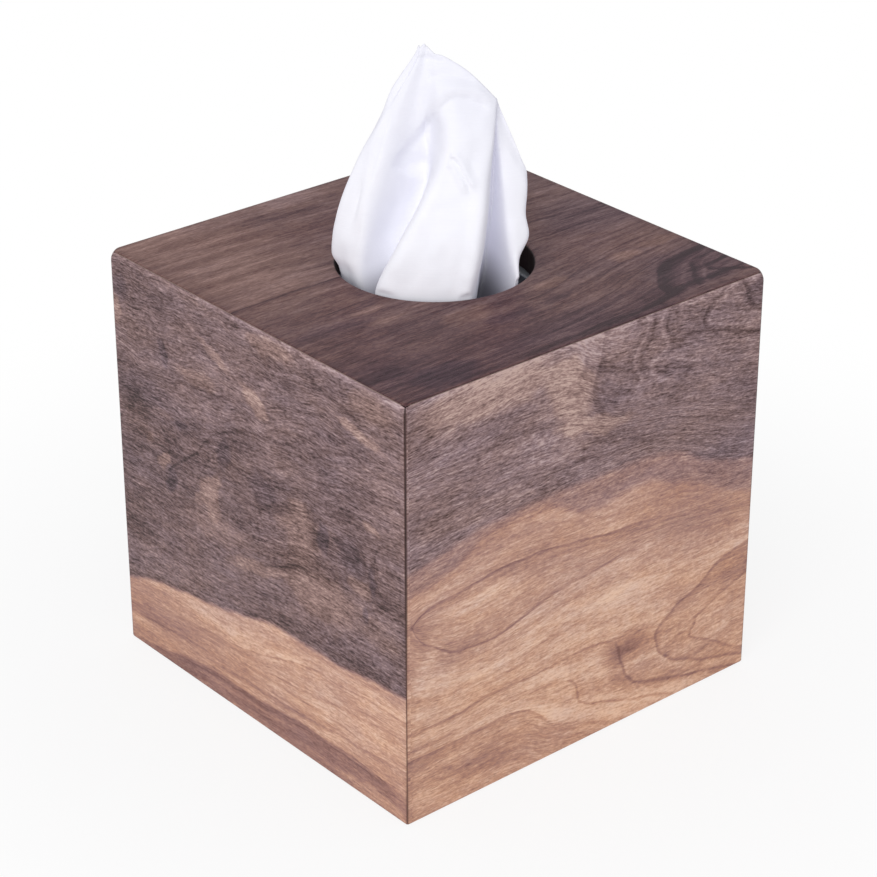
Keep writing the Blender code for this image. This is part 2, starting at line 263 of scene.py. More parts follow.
class Board:
    """The walnut of one board: its figure is laid out in millimetres along and up the board."""

    def __init__(self, name, along, up, seed, tone):
        self.name = name
        self.finish = Finish("walnut_" + name, Roughness=0.5)
        self.x, self.y, self.z = self.finish.object_place()
        axes = {"x": self.x, "y": self.y, "z": self.z}
        self.u = axes[along[-1]] * (-1.0 if along[0] == "-" else 1.0)
        self.v = axes[up]
        self.low = 0.0 if up == "z" else -HALF_BOARD
        self.seed = seed

        # Places as the drawn lines see them, which lets the lines wander
        wander = self.cells(46, 21, 0, 1.0)
        shiver = self.cells(9, 4.5, 3, 2.0)
        self.wu = self.u + 3.0 * wander
        self.wv = self.v + 2.4 * wander + 1.3 * shiver

        # Places as the patches see them, and how far the steps between tones fray
        self.pu = self.wu + 9.0 * self.cells(12, 9, 5, 2.0, 0.6)
        self.pv = self.wv + 6.0 * self.cells(9, 8, 6, 2.0, 0.6)
        self.fray = 2.4 * self.cells(6, 0.8, 8, 2.0, 0.6)
        self.tone = tone
        self.heart = 1.0
        self.warmth = 0.0
        self.flow = self.wv

    def cells(self, across, up, number, detail, roughness=0.5):
        """Noise in cells of this width and height; each number gives a noise of its own."""
        return self.finish.noise(self.u / across, self.v / up, self.seed + number, detail, roughness)

    def drawn(self, value, places, low_in, low_out):
        """A curve drawn through places, in millimetres on both axes."""
        reach = 2 * HALF_BOARD
        shares = [((place - low_in) / reach, (height - low_out) / reach) for place, height in places]
        inputs = {"Value": (value - low_in) / reach}
        return self.finish.node("ShaderNodeFloatCurve", {"places": shares}, inputs) * reach + low_out

    def level(self, places):
        """Height above a line that runs along the board."""
        return self.wv - self.drawn(self.wu, places, -HALF_BOARD, self.low)

    def upright(self, places):
        """Distance to the right of a line that runs up the board, square to the line."""
        span = 0.7
        here = self.drawn(self.wv, places, self.low, -HALF_BOARD)
        lean = (self.drawn(self.wv + span, places, self.low, -HALF_BOARD) - here) / span
        return (self.wu - here) / (lean * lean + 1.0) ** 0.5

    def follow(self, *lines):
        """Grain that keeps to each line, with the lines' places as its values and even steps between."""
        place, distance = lines[0]
        flow = self.finish.maths("MINIMUM", distance, 0.0) + place
        for next_place, next_distance in lines[1:]:
            share = self.finish.maths("DIVIDE", distance, distance - next_distance, clamp=True)
            flow = flow + share * (next_place - place)
            place, distance = next_place, next_distance
        return flow + self.finish.maths("MAXIMUM", distance, 0.0)

    def ripple(self, flow, mask, change):
        """Soft streaks up the board along a flow of their own."""
        streak = self.finish.noise(self.v / 34, flow / 3.4, self.seed + 40, 1.0)
        self.tone = self.tone + streak * mask * change

    def step(self, distance, soft, change, fray=1.0):
        """Change the tone on the far side of a line."""
        mask = self.finish.smooth(distance + self.fray * fray, -soft, soft)
        self.tone = self.tone + mask * change
        return mask

    def line(self, distance, before, after, change, start=None, end=None, along=None):
        """Darken or lighten a line, which fades over one width before it and another after it."""
        smooth = self.finish.smooth
        mask = smooth(distance, -before, 0.0) * smooth(distance, after, 0.0)
        along = along or self.u
        if start:
            mask = mask * smooth(along, *start)
        if end:
            mask = mask * smooth(along, *end)
        self.tone = self.tone + mask * change
        return mask

    @staticmethod
    def oval(du, dv, half_width, half_height, turn):
        """Squared distance from the middle of an oval, one on its line."""
        c, s = cos(radians(turn)), sin(radians(turn))
        a = (du * c + dv * s) / half_width
        b = (dv * c - du * s) / half_height
        return a * a + b * b

    def patch(self, across, up, half_width, half_height, turn=0.0):
        """A soft oval patch, from one in the middle to nothing outside."""
        inside = self.oval(self.pu - across, self.pv - up, half_width, half_height, turn)
        return self.finish.smooth(inside, 1.0, 0.0)

    def ring(self, across, up, half_width, half_height, turn=0.0):
        """Distance outwards from an oval line, in millimetres."""
        inside = self.oval(self.wu - across, self.wv - up, half_width, half_height, turn)
        return (inside ** 0.5 - 1.0) * (half_width * half_height) ** 0.5

    def tint(self, mask, change, warmth=0.0):
        """Change the tone inside a mask, and its colour towards pink or towards blue."""
        self.tone = self.tone + mask * change
        if warmth:
            self.warmth = mask * warmth + self.warmth

    def patches(self, *rows):
        """Tint soft oval patches. A row holds a patch's middle, half width and half height, its change
        of tone and, where it needs them, its warmth and its turn."""
        for row in rows:
            across, up, half_width, half_height, change, warmth, turn = (*row, 0.0, 0.0)[:7]
            self.tint(self.patch(across, up, half_width, half_height, turn), change, warmth)


# Contrast of the top's patches, and how much warmer a paler patch is, on the left board and on the top
TOP_CONTRAST = 1.2
LEFT_WARMTH = 6
TOP_WARMTH = 7


def front_figure(board):
    """Pale sapwood below with an eye and a nest of knees, grey heartwood above."""
    smooth = board.finish.smooth
    heart_edge = board.level([
        (-70, 84), (-58, 86), (-46, 88.5), (-34, 90.5), (-20, 91), (-8, 90.5), (4, 90), (18, 90),
        (28, 89), (36, 87.3), (41, 85), (46, 82), (54, 79), (62, 76.6), (70, 75)])
    dusk_edge = board.level([
        (-70, 76.5), (-60, 78), (-52, 80.5), (-46, 83.5), (-41, 86.5), (-34, 88), (-24, 88.6), (-17, 87.6),
        (-10, 85), (-4, 82), (4, 80.5), (14, 81), (24, 81.5), (31, 79), (38, 76.5), (45, 74), (52, 70.5),
        (60, 66.5), (70, 63)])
    dusk = board.step(dusk_edge, 2.2, -0.16)
    board.heart = dusk * 0.45 + board.step(heart_edge, 1.8, -0.13) * 0.55
    board.tint(smooth(board.v, 62, 84), -0.13)
    board.line(dusk_edge, 1.2, 1.0, -0.08, end=(20, 0))
    board.line(heart_edge, 0.8, 3.0, -0.08, start=(20, 36))

    # The eye, closed at the left and open to the right
    eye_top = board.level([
        (-70, 66.4), (-67.8, 66.8), (-66.2, 68.4), (-60, 70.4), (-50, 71.6), (-40, 73), (-28, 73.7),
        (-19, 73.7), (-10, 72.4), (0, 71), (9, 69.4), (20, 69), (30, 67.5), (70, 62)])
    eye_bottom = board.level([
        (-70, 66.6), (-67.9, 66.2), (-67, 64), (-64.5, 60.6), (-60, 57.4), (-56, 54.6), (-53, 52.8),
        (-48, 51.9), (-40, 51.5), (-32, 52.2), (-25, 54), (-18, 56), (-8, 57.9), (2, 58.6), (12, 60),
        (22, 60.5), (32, 60), (70, 55)])
    board.line(eye_top, 1.3, 0.5, -0.24, start=(-69.6, -66.6), end=(34, 14))
    board.line(eye_top, 5.0, 0.8, -0.09, end=(34, 14))
    board.line(eye_bottom, 0.6, 1.0, -0.20, start=(-69.6, -66.8), end=(30, 6))
    board.line(eye_bottom, 1.0, 4.5, -0.08, end=(30, 6))
    board.tint(smooth(eye_top, 0.0, -3.0) * smooth(eye_bottom, 0.0, 3.0) * smooth(board.u, 40, 10), -0.10)
    board.patches((-41, 65.5, 22, 6, 0.13, 0.1), (44, 66, 38, 14, -0.17, 0, -12), (-69, 61, 9, 14, -0.17))
    board.tint(smooth(board.v, 42, 54) * smooth(board.v, 90, 80), -0.02, -0.25)
    board.tint(smooth(board.u, -66.0, -69.0) * smooth(board.v, 62, 44), -0.10)
    board.tint(smooth(board.v, 46, 38), 0.0, 0.20)
    board.tint(smooth(board.v, 84, 66) * smooth(board.u, 10, 50), -0.06)
    board.patches((-40, 78, 30, 5, 0.03, 0, 6))

    # Lines that run in from the left
    long_line = board.level([
        (-70, 31), (-60, 30.8), (-50, 31.2), (-40, 32.4), (-30, 32.5), (-20, 32.5), (-10, 33), (0, 33),
        (6, 32.6), (12, 31), (20, 30), (70, 30)])
    middle_line = board.level([
        (-70, 25.3), (-60, 25.5), (-50, 25.6), (-40, 26), (-30, 26.2), (-24, 26.3), (-15, 26), (-10, 25),
        (-6, 24), (-3, 21), (0, 12), (70, 0)])
    lower_line = board.level([
        (-70, 21.8), (-60, 21.8), (-50, 21.8), (-42, 22.2), (-35, 22.3), (-28, 21.8), (-24, 20.5),
        (-21, 18.5), (-17, 15), (-13, 12.4), (-6, 9.5), (6, 5), (20, 0), (70, -3)])
    board.line(long_line, 1.0, 0.5, -0.17, end=(16, 4))
    board.line(long_line, 3.0, 0.8, -0.05, end=(16, 4))
    board.line(middle_line, 0.8, 0.6, -0.13, end=(-2, -8))
    board.tint(smooth(long_line, 0.0, -2.0) * smooth(lower_line, 0.0, 2.0), 0.03)
    board.step(lower_line * -1.0, 0.8, -0.12)
    board.line(lower_line, 1.2, 0.5, -0.16, end=(-12, -22))
    board.patches(
        (-46, 10, 30, 3.6, -0.13, 0, -11), (-24, 11, 30, 3, -0.08, 0, -14), (-66, 7, 16, 3, 0.11, 0, -8),
        (-62, 22, 16, 7, -0.13), (-53, 52, 9, 6, -0.11), (8, 20, 14, 6, -0.08), (-16, 32, 20, 5, 0.07),
        (66, 34, 14, 14, -0.09), (30, 12, 16, 6, -0.11, 0, -20))

    # Knees, nested in the lower right corner
    turn_line = board.upright([
        (0, 40), (1.5, 37), (4, 30), (6, 22), (8.5, 14), (10.5, 8), (12, 3), (13.5, 0), (15, -2.3),
        (18, -3), (22, -4), (24, -6), (25, -10), (67, -40)])
    smudge_edge = board.upright([
        (0, 60), (5, 42), (8.8, 28), (10.5, 22), (12, 17), (14, 13), (17, 11), (20, 10.5), (24, 9),
        (27, 7), (32, 8), (67, 30)])
    inner_knee = board.upright([
        (0, 66), (1.8, 60), (3.5, 52), (5, 45), (7, 38), (9, 32), (10.5, 26), (12, 22), (14.5, 19),
        (17.5, 17), (21, 16), (24, 15), (27, 14.5), (30, 13), (67, 8)])
    middle_knee = board.upright([
        (0, 84), (3, 70), (5.5, 60), (7.5, 52), (10, 46), (12, 41), (13.5, 37), (16, 34), (18, 32),
        (20, 31), (23, 30.5), (25.5, 30), (28, 31), (30, 33), (31.5, 36), (34, 40), (35.5, 45), (38, 50),
        (41.5, 55), (43, 60), (44.5, 70), (50, 110)])
    outer_knee = board.upright([
        (0, 84), (5.5, 70), (8, 63), (11, 58), (13.5, 54), (16, 50), (18, 46.5), (19.5, 45), (21.5, 45.5),
        (23, 47), (25.3, 47.8), (26.5, 50), (28.5, 55), (30.5, 60), (32, 65), (34, 70), (40, 90)])
    low = smooth(board.v, 33, 25)
    board.tint(smooth(smudge_edge, -3.0, 3.0) * smooth(inner_knee, 3.0, -1.5) * low, -0.20)
    board.line(turn_line, 0.9, 0.9, -0.22, start=(-9, -4), end=(44, 30))
    board.line(inner_knee, 1.0, 0.8, -0.24, along=board.v, end=(32, 28))
    board.tint(smooth(middle_knee, -1.0, 1.0) * smooth(outer_knee, 1.5, -1.5), -0.09)
    board.line(middle_knee, 0.8, 1.2, -0.20)
    board.line(middle_knee, 0.5, 4.0, -0.07)
    board.line(outer_knee, 1.3, 0.6, -0.19)
    board.patches((19, 26.5, 8, 3.2, -0.20, 0, 14), (20, 27, 15, 8, -0.22, 0, -10))
    board.tint(smooth(middle_knee, 0.0, -3.0) * smooth(inner_knee, 0.0, 3.0) * smooth(board.v, 28, 16), -0.04)
    board.tint(smooth(outer_knee, 0.0, 3.0), -0.02)

    # Pinkish patches and swirls in the heartwood
    brow = board.level([
        (-70, 122), (-50, 126), (-38, 129), (-28, 131), (-20, 131), (-12, 129.5), (-6, 126), (-2, 121),
        (2, 116), (8, 112), (16, 109.5), (26, 107), (40, 103), (55, 98), (70, 93)])
    sill = board.level([
        (-70, 108), (-50, 106), (-30, 105), (-15, 104.6), (0, 103), (15, 100.5), (30, 97.5), (45, 93),
        (60, 88), (70, 85)])
    board.patches(
        (-37, 131, 36, 9, 0.20, 1.0), (-8, 121, 10, 16, 0.20, 1.1, 16), (0, 108, 20, 3.4, 0.18, 1.0, -9),
        (-50, 96, 26, 6, 0.04, 0.4))
    board.tint(smooth(board.v, 92, 104) * smooth(board.u, 4, -16), 0.08)
    board.patches(
        (-36, 116, 26, 6, -0.04), (10, 120, 9, 12, -0.06, 0, -6), (4, 134, 17, 8, 0.28),
        (-66, 130, 12, 13, -0.15), (-56, 102, 26, 7, -0.12), (66, 100, 12, 9, -0.10))
    board.line(brow, 1.4, 0.7, -0.14, start=(-55, -38), end=(-2, -12))
    swirl_left = board.upright([
        (100, 14), (106, 10), (110, 4), (114, 1), (118, 0), (123, 1), (127, 3), (131, 4), (137, 5)])
    swirl_middle = board.upright([
        (100, 32), (106, 24), (110, 17), (114, 18), (117, 19.5), (119, 18), (123, 16), (127, 18),
        (131, 21), (137, 21)])
    swirl_right = board.upright([
        (100, 60), (106, 46), (110, 36), (115, 27), (119, 23), (122, 27), (125, 30), (128, 28), (133, 27),
        (137, 29)])
    vee = board.upright([
        (100, 110), (113, 78), (116.5, 70), (119.5, 60), (123, 52), (125, 47), (127.5, 44.5), (130, 45),
        (134, 50), (137, 54)])
    second_vee = board.upright([
        (100, 130), (115, 92), (121, 80), (124, 70), (126, 66), (128.5, 63.5), (131, 63), (137, 60)])
    board.line(swirl_left, 0.8, 3.0, -0.17, along=board.v, start=(106, 111))
    board.line(swirl_left + 6.0, 1.6, 1.6, -0.10, along=board.v, start=(110, 114))
    board.line(swirl_middle, 1.1, 1.1, 0.19, along=board.v, start=(112, 116))
    board.line(swirl_middle - 2.6, 1.2, 1.2, -0.13, along=board.v, start=(112, 116))
    board.line(swirl_right, 1.1, 1.1, 0.17, along=board.v, start=(110, 114))
    board.line(swirl_right - 2.2, 1.0, 1.4, -0.14, along=board.v, start=(112, 116))
    board.line(vee, 0.8, 1.5, -0.19, along=board.v, start=(108, 116))
    board.line(vee - 2.4, 1.0, 1.2, 0.13, along=board.v, start=(110, 118))
    board.line(second_vee, 0.8, 2.5, -0.20)
    board.line(second_vee - 4.0, 1.2, 1.2, 0.10)
    board.patches((68, 130, 7, 6, -0.20, -0.5))
    for drop, change in ((5, -0.12), (11, -0.10), (18, -0.13), (24, -0.09)):
        board.line(brow + drop, 0.7, 0.5, change, start=(6, 30))
    board.flow = board.follow(
        (20, lower_line), (33, long_line), (54, eye_bottom), (72, eye_top), (88, heart_edge),
        (105, sill), (128, brow))
    board.ripple(turn_line, smooth(board.v, 30, 20) * smooth(board.u, -14, 0), 0.18)
    board.ripple(swirl_middle, smooth(board.v, 102, 114) * smooth(board.u, 0, 8), 0.30)


def left_figure(board):
    """Dark heartwood with short rising flecks over a band of pale sapwood."""
    smooth = board.finish.smooth
    heart_edge = board.level([
        (-70, 22.5), (-60, 26), (-53, 28), (-45, 29.6), (-38, 31), (-30, 32), (-18, 34), (-12, 35.5),
        (-5, 37), (0, 38.3), (8, 39.6), (20, 40), (30, 40.3), (40, 40.6), (50, 41.9), (60, 43), (70, 43.8)])
    board.heart = board.step(heart_edge, 1.3, -0.47, 0.5)
    board.line(heart_edge, 0.6, 3.5, -0.05)
    board.line(heart_edge - 4.0, 4.5, 7.0, -0.09, start=(-40, 10))
    board.line(heart_edge, 2.2, 0.4, 0.05)
    board.patches((-64, 14, 34, 15, -0.08))
    board.tint(smooth(heart_edge, -9.0, -3.0) * smooth(heart_edge, 0.5, -1.0), -0.03, -0.3)
    board.tint(smooth(board.v, 21, 10), -0.11)
    board.patches(
        (-52, 19, 34, 10, -0.10), (40, 23, 38, 6, 0.10), (-18, 62, 22, 7, 0.22, 0.4, 4),
        (-64, 48, 16, 12, -0.17), (-60, 84, 9, 14, -0.10), (-56, 131, 16, 6, -0.13),
        (-24, 18, 28, 12, -0.09), (66, 100, 14, 28, 0.06), (-8, 112, 15, 6, 0.10),
        (-66, 96, 12, 12, -0.08), (26, 66, 18, 14, 0.0, 0.6))
    board.tint(smooth(board.v, 133.5, 136.0) * smooth(board.u, -30, 10), 0.16)
    rising = board.level([
        (-70, 17), (-45, 20), (-22, 22.5), (-10, 23.5), (-2, 25.5), (5, 27.5), (10, 29), (15, 30.5),
        (20, 32), (28, 33), (40, 33.5), (50, 34.5), (60, 35), (70, 35.5)])
    board.line(rising, 1.0, 0.5, -0.18, start=(-60, -20))
    second = board.level([
        (-70, 17), (-30, 19.5), (0, 21), (13, 22.3), (20, 23), (30, 25), (40, 26), (50, 27), (60, 28),
        (70, 28.6)])
    board.line(second, 0.9, 0.5, -0.17, start=(-10, 16))
    third = board.level([
        (-70, 9), (-40, 11), (0, 13.2), (15, 14), (25, 14.7), (35, 15.8), (45, 16.5), (52, 17),
        (60, 17.5), (70, 18.3)])
    board.line(third, 1.3, 0.5, -0.20, start=(-40, 0))
    fourth = board.level([(-70, 14), (0, 19), (20, 19.5), (32, 20), (50, 19.7), (70, 20)])
    board.line(fourth, 1.0, 0.7, -0.10, start=(-20, 20))
    fifth = board.level([(-70, 10), (-60, 11), (-50, 12), (-37, 13.2), (-20, 14.6), (70, 19)])
    board.line(fifth, 0.9, 0.6, -0.17, start=(-68, -60), end=(-16, -34))
    board.tint(smooth(rising, 0.0, -1.5) * smooth(third, 0.0, 1.5), -0.05)
    band_top = board.level([
        (-70, 0), (-40, 5.5), (-25, 7.6), (-12, 8.2), (0, 8.6), (10, 9.8), (20, 11), (30, 11.1),
        (45, 11.5), (55, 11), (62, 10), (70, 9.4)])
    board.step(band_top * -1.0, 1.8, -0.24)
    board.line(band_top, 3.2, 0.9, -0.20, start=(-60, -20), end=(74, 56))
    board.line(band_top + 1.0, 0.6, 0.5, -0.12, start=(-50, -20), end=(66, 50))
    board.line(band_top + 4.6, 0.7, 0.5, -0.13, start=(-30, 0), end=(30, 4))
    board.patches((56, 3.0, 22, 3.4, 0.22), (-10, 3, 60, 3, -0.10, 0, 4), (-50, 2, 30, 3.4, -0.12))

    # Pinkish and dark patches in the heartwood
    for across, up, half_width, half_height, turn, change in (
            (-22, 74, 4.5, 9, -36, 0.22), (-21, 68, 5, 6, 0, 0.14), (-28, 68.5, 6, 2.5, 32, 0.14),
            (-46, 74, 5.5, 2.2, 35, 0.20), (-54, 79.5, 4, 1.5, 25, 0.10), (22, 78, 9, 14, 0, 0.12),
            (13, 77, 6, 3, 30, 0.08), (21, 86, 5, 2.2, 0, 0.12), (-45, 91, 7, 1.8, 0, 0.08),
            (49, 71, 6, 4, 0, 0.18), (33, 60, 24, 9, 8, 0.14), (2, 57, 22, 3, 14, 0.14),
            (56, 93, 5, 2, 0, 0.20), (50, 120.5, 12, 2.4, -14, 0.18), (1, 112, 9, 3.5, -24, 0.20),
            (-18, 120, 10, 2, -28, 0.12), (10, 133, 14, 4, 0, 0.12), (56, 131, 14, 6, 0, 0.12),
            (-69, 118, 4, 7, 0, 0.20), (-28, 109, 13, 4, 0, 0.12), (60, 60, 12, 6, 0, 0.08),
            (45, 80, 9, 7, 0, -0.11), (33, 80.5, 2.8, 6.5, -12, -0.17), (-43, 69, 3, 6, -25, -0.22),
            (-44, 112, 2.4, 6, 8, -0.16), (-36, 90, 4, 2, 0, -0.12), (-58, 95, 18, 8, 12, -0.08),
            (-14.5, 89, 4, 8, -22, -0.14), (5, 84, 8, 7, 0, -0.08), (54, 75, 2.4, 7, -6, -0.14),
            (51.5, 63, 2, 4, 0, -0.14), (-66, 126, 5, 6, 30, -0.12), (-58, 66, 16, 5, 0, -0.05)):
        board.patches((across, up, half_width, half_height, change, change * LEFT_WARMTH, turn))
    rising_shade = board.level([
        (-70, 57), (-20, 57), (0, 58), (6, 59.5), (12, 62), (20, 66), (30, 67), (70, 70)])
    board.line(rising_shade, 1.3, 0.9, -0.20, start=(-2, 6), end=(30, 18))
    grey_line = board.level([(-70, 59.4), (-60, 59.4), (-50, 59.8), (-40, 60), (70, 60)])
    board.line(grey_line, 0.9, 0.7, -0.18, start=(-66, -58), end=(-40, -48))
    board.line(grey_line - 1.1, 0.6, 0.6, 0.24, end=(-52, -60))

    # Arches and rings drawn round the patches
    arch = board.level([
        (-70, 50), (-50, 60), (-46.5, 66), (-44.5, 71), (-39, 76), (-34, 79.6), (-29, 83.6), (-23, 90),
        (-17, 95), (-10, 98.6), (4, 102.3), (16, 104), (30, 105), (70, 107)])
    inner_arch = board.level([
        (-70, 40), (-40, 56), (-33, 66), (-29, 74), (-24, 81.5), (-18, 88.5), (-9, 94), (6, 97.5), (24, 98),
        (70, 100)])
    board.line(arch, 1.1, 0.9, -0.19, start=(-47, -44), end=(34, 4))
    board.line(arch - 2.4, 1.4, 1.4, 0.07, start=(-40, -30), end=(10, -6))
    board.line(inner_arch, 0.9, 0.9, -0.12, start=(-34, -28), end=(26, 0))
    fall = board.level([
        (-70, 141), (-44, 131.5), (-31, 126.3), (-17, 121), (-3, 115), (8, 111.5), (22, 108.5), (70, 99)])
    board.line(fall, 1.0, 1.0, 0.12, start=(-40, -28), end=(34, 18))
    board.line(fall + 4.0, 1.4, 1.0, -0.07, start=(-36, -20), end=(40, 20))
    second_fall = board.level([(-70, 152), (28, 130), (40, 126.8), (56, 123.5), (70, 120.5)])
    board.line(second_fall, 1.6, 1.4, -0.12, start=(16, 32))
    board.line(second_fall + 4.2, 1.4, 1.2, 0.10, start=(22, 40))
    pale_streak = board.level([
        (-70, 51), (-41, 52.4), (-23, 52.8), (-20, 50.8), (0, 52.4), (15, 54), (70, 58)])
    board.line(pale_streak, 0.5, 0.6, 0.16, start=(-42, -34), end=(22, 10))
    low_streak = board.level([(-70, 62), (10, 66), (19, 67), (38, 67.8), (58, 69.4), (70, 70)])
    board.line(low_streak, 0.6, 0.6, -0.13, start=(4, 14))
    for across, up, half_width, half_height, foot, change in (
            (40, 79, 12, 11, 78, -0.08), (41, 79, 16.5, 15, 82, -0.07), (-56, 79, 13, 9, 80, -0.14),
            (-6, 69, 8, 8, 66, -0.09), (14, 78, 7, 6, 78, -0.09), (62, 80, 6, 10, 76, -0.12),
            (-56, 110, 14, 12, 108, -0.10), (-60, 104, 9, 7, 104, -0.08)):
        oval_line = board.ring(across, up, half_width, half_height)
        board.line(oval_line, 0.9, 0.9, change, along=board.v, start=(foot - 6.0, foot))
    slope = board.level([(-70, 104), (70, 128)]) + board.cells(20, 15, 7, 1.0) * 12
    board.flow = board.follow(
        (10, band_top), (16, third), (25, second), (32, rising), (40, heart_edge), (60, rising_shade),
        (116, slope))
    board.tint(smooth(board.v, 46, 66) * smooth(board.v, 104, 88), -0.07)


def top_figure(board):
    """Dark chocolate heartwood with straight streaks, warmer and paler behind the hole at the left."""
    smooth = board.finish.smooth
    dividing = board.level([(-70, 8.4), (-50, 8.6), (-30, 8.2), (-10, 7), (20, 4), (45, 2), (70, 0)])
    board.step(dividing, 0.7, 0.04)
    board.line(dividing, 0.9, 0.7, -0.26, end=(60, 20))
    board.line(dividing - 1.6, 0.8, 0.8, 0.15, start=(38, 50))
    board.patches((-62, 44, 44, 50, 0.15, 0.5))
    board.tint(smooth(board.u, 10, -40), 0.0, 0.3)
    board.patches(
        (-20, 67, 50, 9, 0.10), (-4, 66, 14, 9, 0.10), (-68, 34, 8, 34, -0.09), (-64, -48, 16, 30, -0.09),
        (64, 12, 14, 14, 0.08), (-14, -46, 60, 14, 0.0, 0.5), (-44, 18, 24, 10, 0.08),
        (50, -20, 34, 26, 0.09), (62, -4, 26, 16, -0.06, -0.9))
    second = board.level([(-70, -11), (-50, -10), (-40, -9.6), (-25, -9), (70, -8)])
    board.line(second, 0.6, 0.6, -0.16, start=(-56, -46))
    for height, start in ((-2.0, (46, 54)), (-10.0, (42, 50))):
        level = board.wv - height
        board.line(level, 0.6, 0.6, -0.13, start=start)
    for places in (
            [(-70, -46), (5, -40), (15, -38.5), (22, -36), (30, -33), (70, -26)],
            [(-70, -40), (35, -33), (50, -29.5), (70, -27)],
            [(-70, -50), (22, -44.5), (35, -40), (50, -37), (70, -36)],
            [(-70, -58), (0, -56), (12, -54.5), (25, -52), (36, -48), (70, -40)]):
        fine_line = board.level(places)
        board.line(fine_line, 0.8, 0.6, -0.14, start=(places[1][0] - 8, places[1][0] + 4))
    edge_band = board.level([
        (-70, -68), (-45, -67), (-30, -67), (10, -67), (25, -66.3), (35, -64.5), (42, -62.5), (50, -62),
        (70, -63)])
    board.line(edge_band, 2.4, 2.0, -0.20, start=(-56, -40), end=(74, 50))
    board.line(edge_band, 2.8, 2.6, -0.14, start=(14, 34), end=(74, 56))
    vee_outer = board.upright([
        (-70, 34), (-66, 35.5), (-62, 36.5), (-58, 38), (-55, 40.5), (-52, 43.5), (-49, 46.5), (-47, 50),
        (-45.5, 55), (-44.4, 62), (-43.4, 70), (-40, 100), (-30, 150)])
    vee_middle = board.upright([
        (-70, 46), (-62, 49), (-59, 51), (-56, 54), (-52, 57), (-50, 62), (-48.6, 70), (-40, 120)])
    vee_inner = board.upright([
        (-70, 78), (-64, 65), (-62, 62), (-59, 58.4), (-57.6, 58), (-56, 61), (-55, 66), (-53.5, 70),
        (-50, 80), (-40, 130)])
    board.line(vee_outer, 1.2, 8.0, -0.34, along=board.v, end=(-41, -44), start=(-68, -60))
    board.line(vee_middle, 1.0, 2.2, -0.20, along=board.v, end=(-46, -50), start=(-68, -62))
    board.line(vee_middle - 3.2, 1.2, 1.2, 0.14, along=board.v, end=(-46, -50), start=(-68, -62))
    board.line(vee_inner, 1.0, 2.6, -0.28, along=board.v, end=(-50, -54), start=(-70, -64))
    board.patches((60, -52, 26, 14, -0.04, -1.0))
    for across, up, half_width, half_height, change in (
            (-18, -36.5, 12, 5.5, 0.13), (46, -35, 9, 4, 0.15), (15, -35.5, 8, 3, 0.13),
            (62, -33, 9, 3, 0.09), (-38, -15, 8, 3, 0.10), (-38, -24, 9, 2, 0.09), (-47, -31, 6, 2, 0.08),
            (-48, -62, 14, 7, -0.16), (-10, -45, 10, 4, -0.07), (8, -45, 8, 3, -0.07),
            (-56, -20, 18, 6, -0.05), (-30, -52, 60, 24, -0.06), (20, -62, 60, 9, -0.06)):
        board.patches((across, up, half_width, half_height, change * TOP_CONTRAST, change * TOP_WARMTH))

    # Between the two bands the grain keeps to the last of the fine lines
    board.flow = board.follow((-66, edge_band), (-44, fine_line), (8, dividing))
    board.ripple(vee_outer, smooth(vee_outer, -5, 1) * smooth(board.v, -36, -44), 0.25)


def right_figure(board):
    """The same grain wrapped round the corner, its sapwood narrowing towards the back."""
    heart_edge = board.level([
        (-70, 75), (-54, 71), (-36, 67), (-16, 60), (4, 52), (24, 45), (46, 39), (70, 36)])
    board.heart = board.step(heart_edge, 1.4, -0.48)
    for drop, change in ((9, -0.15), (17, -0.10), (26, -0.16), (38, -0.12), (52, -0.14)):
        board.line(heart_edge + drop, 1.3, 0.6, change)
    board.patches((-20, 104, 40, 9, 0.16, 0, -8), (34, 80, 12, 8, -0.10))
    board.flow = board.follow((50, heart_edge), (118, board.wv - 118.0))


def back_figure(board):
    """Heartwood nearly all over, with a low edge of sapwood."""
    heart_edge = board.level([
        (-70, 36), (-50, 33.5), (-30, 30), (-10, 27), (10, 24.5), (30, 22.5), (50, 21.5), (70, 22)])
    board.heart = board.step(heart_edge, 1.2, -0.48)
    for drop, change in ((7, -0.13), (13, -0.09), (20, -0.15)):
        board.line(heart_edge + drop, 1.2, 0.5, change)
    board.patches((-24, 84, 18, 10, 0.15), (36, 110, 26, 7, 0.12, 0, 10), (30, 62, 12, 7, -0.10))
    slope = board.level([(-70, 98), (70, 84)])
    board.flow = board.follow((28, heart_edge), (90, slope))


# Cells of the grain in millimetres, along and across it; how closely each layer keeps to the figure; and its
# strength in sapwood, in heartwood and in the top board
GRAIN_LAYERS = (
    (62, 6.0, 1.0, 0.36, 0.34, 0.40),
    (24, 2.2, 0.8, 0.38, 0.46, 0.56),
    (5.2, 0.80, 0.5, 0.47, 0.88, 0.38),
    (1.7, 0.52, 0.4, 0.52, 1.0, 0.40),
)
MOTTLE_CELL = 13
MOTTLE_SQUASH = 1.6
MOTTLE_STRENGTH = (0.14, 0.34, 0.22)

# Pores: their length and width, the noise between which they open and how much they darken the wood
PORE_LENGTH = 5.5
PORE_WIDTH = 0.3
PORE_OPENING = (0.12, 0.26)
PORE_TONE = 0.09


def strength(board, in_sap, in_heart, in_top):
    """Strength of a texture in the board's own kinds of wood."""
    if board.name == "top":
        return in_top
    return board.heart * (in_heart - in_sap) + in_sap


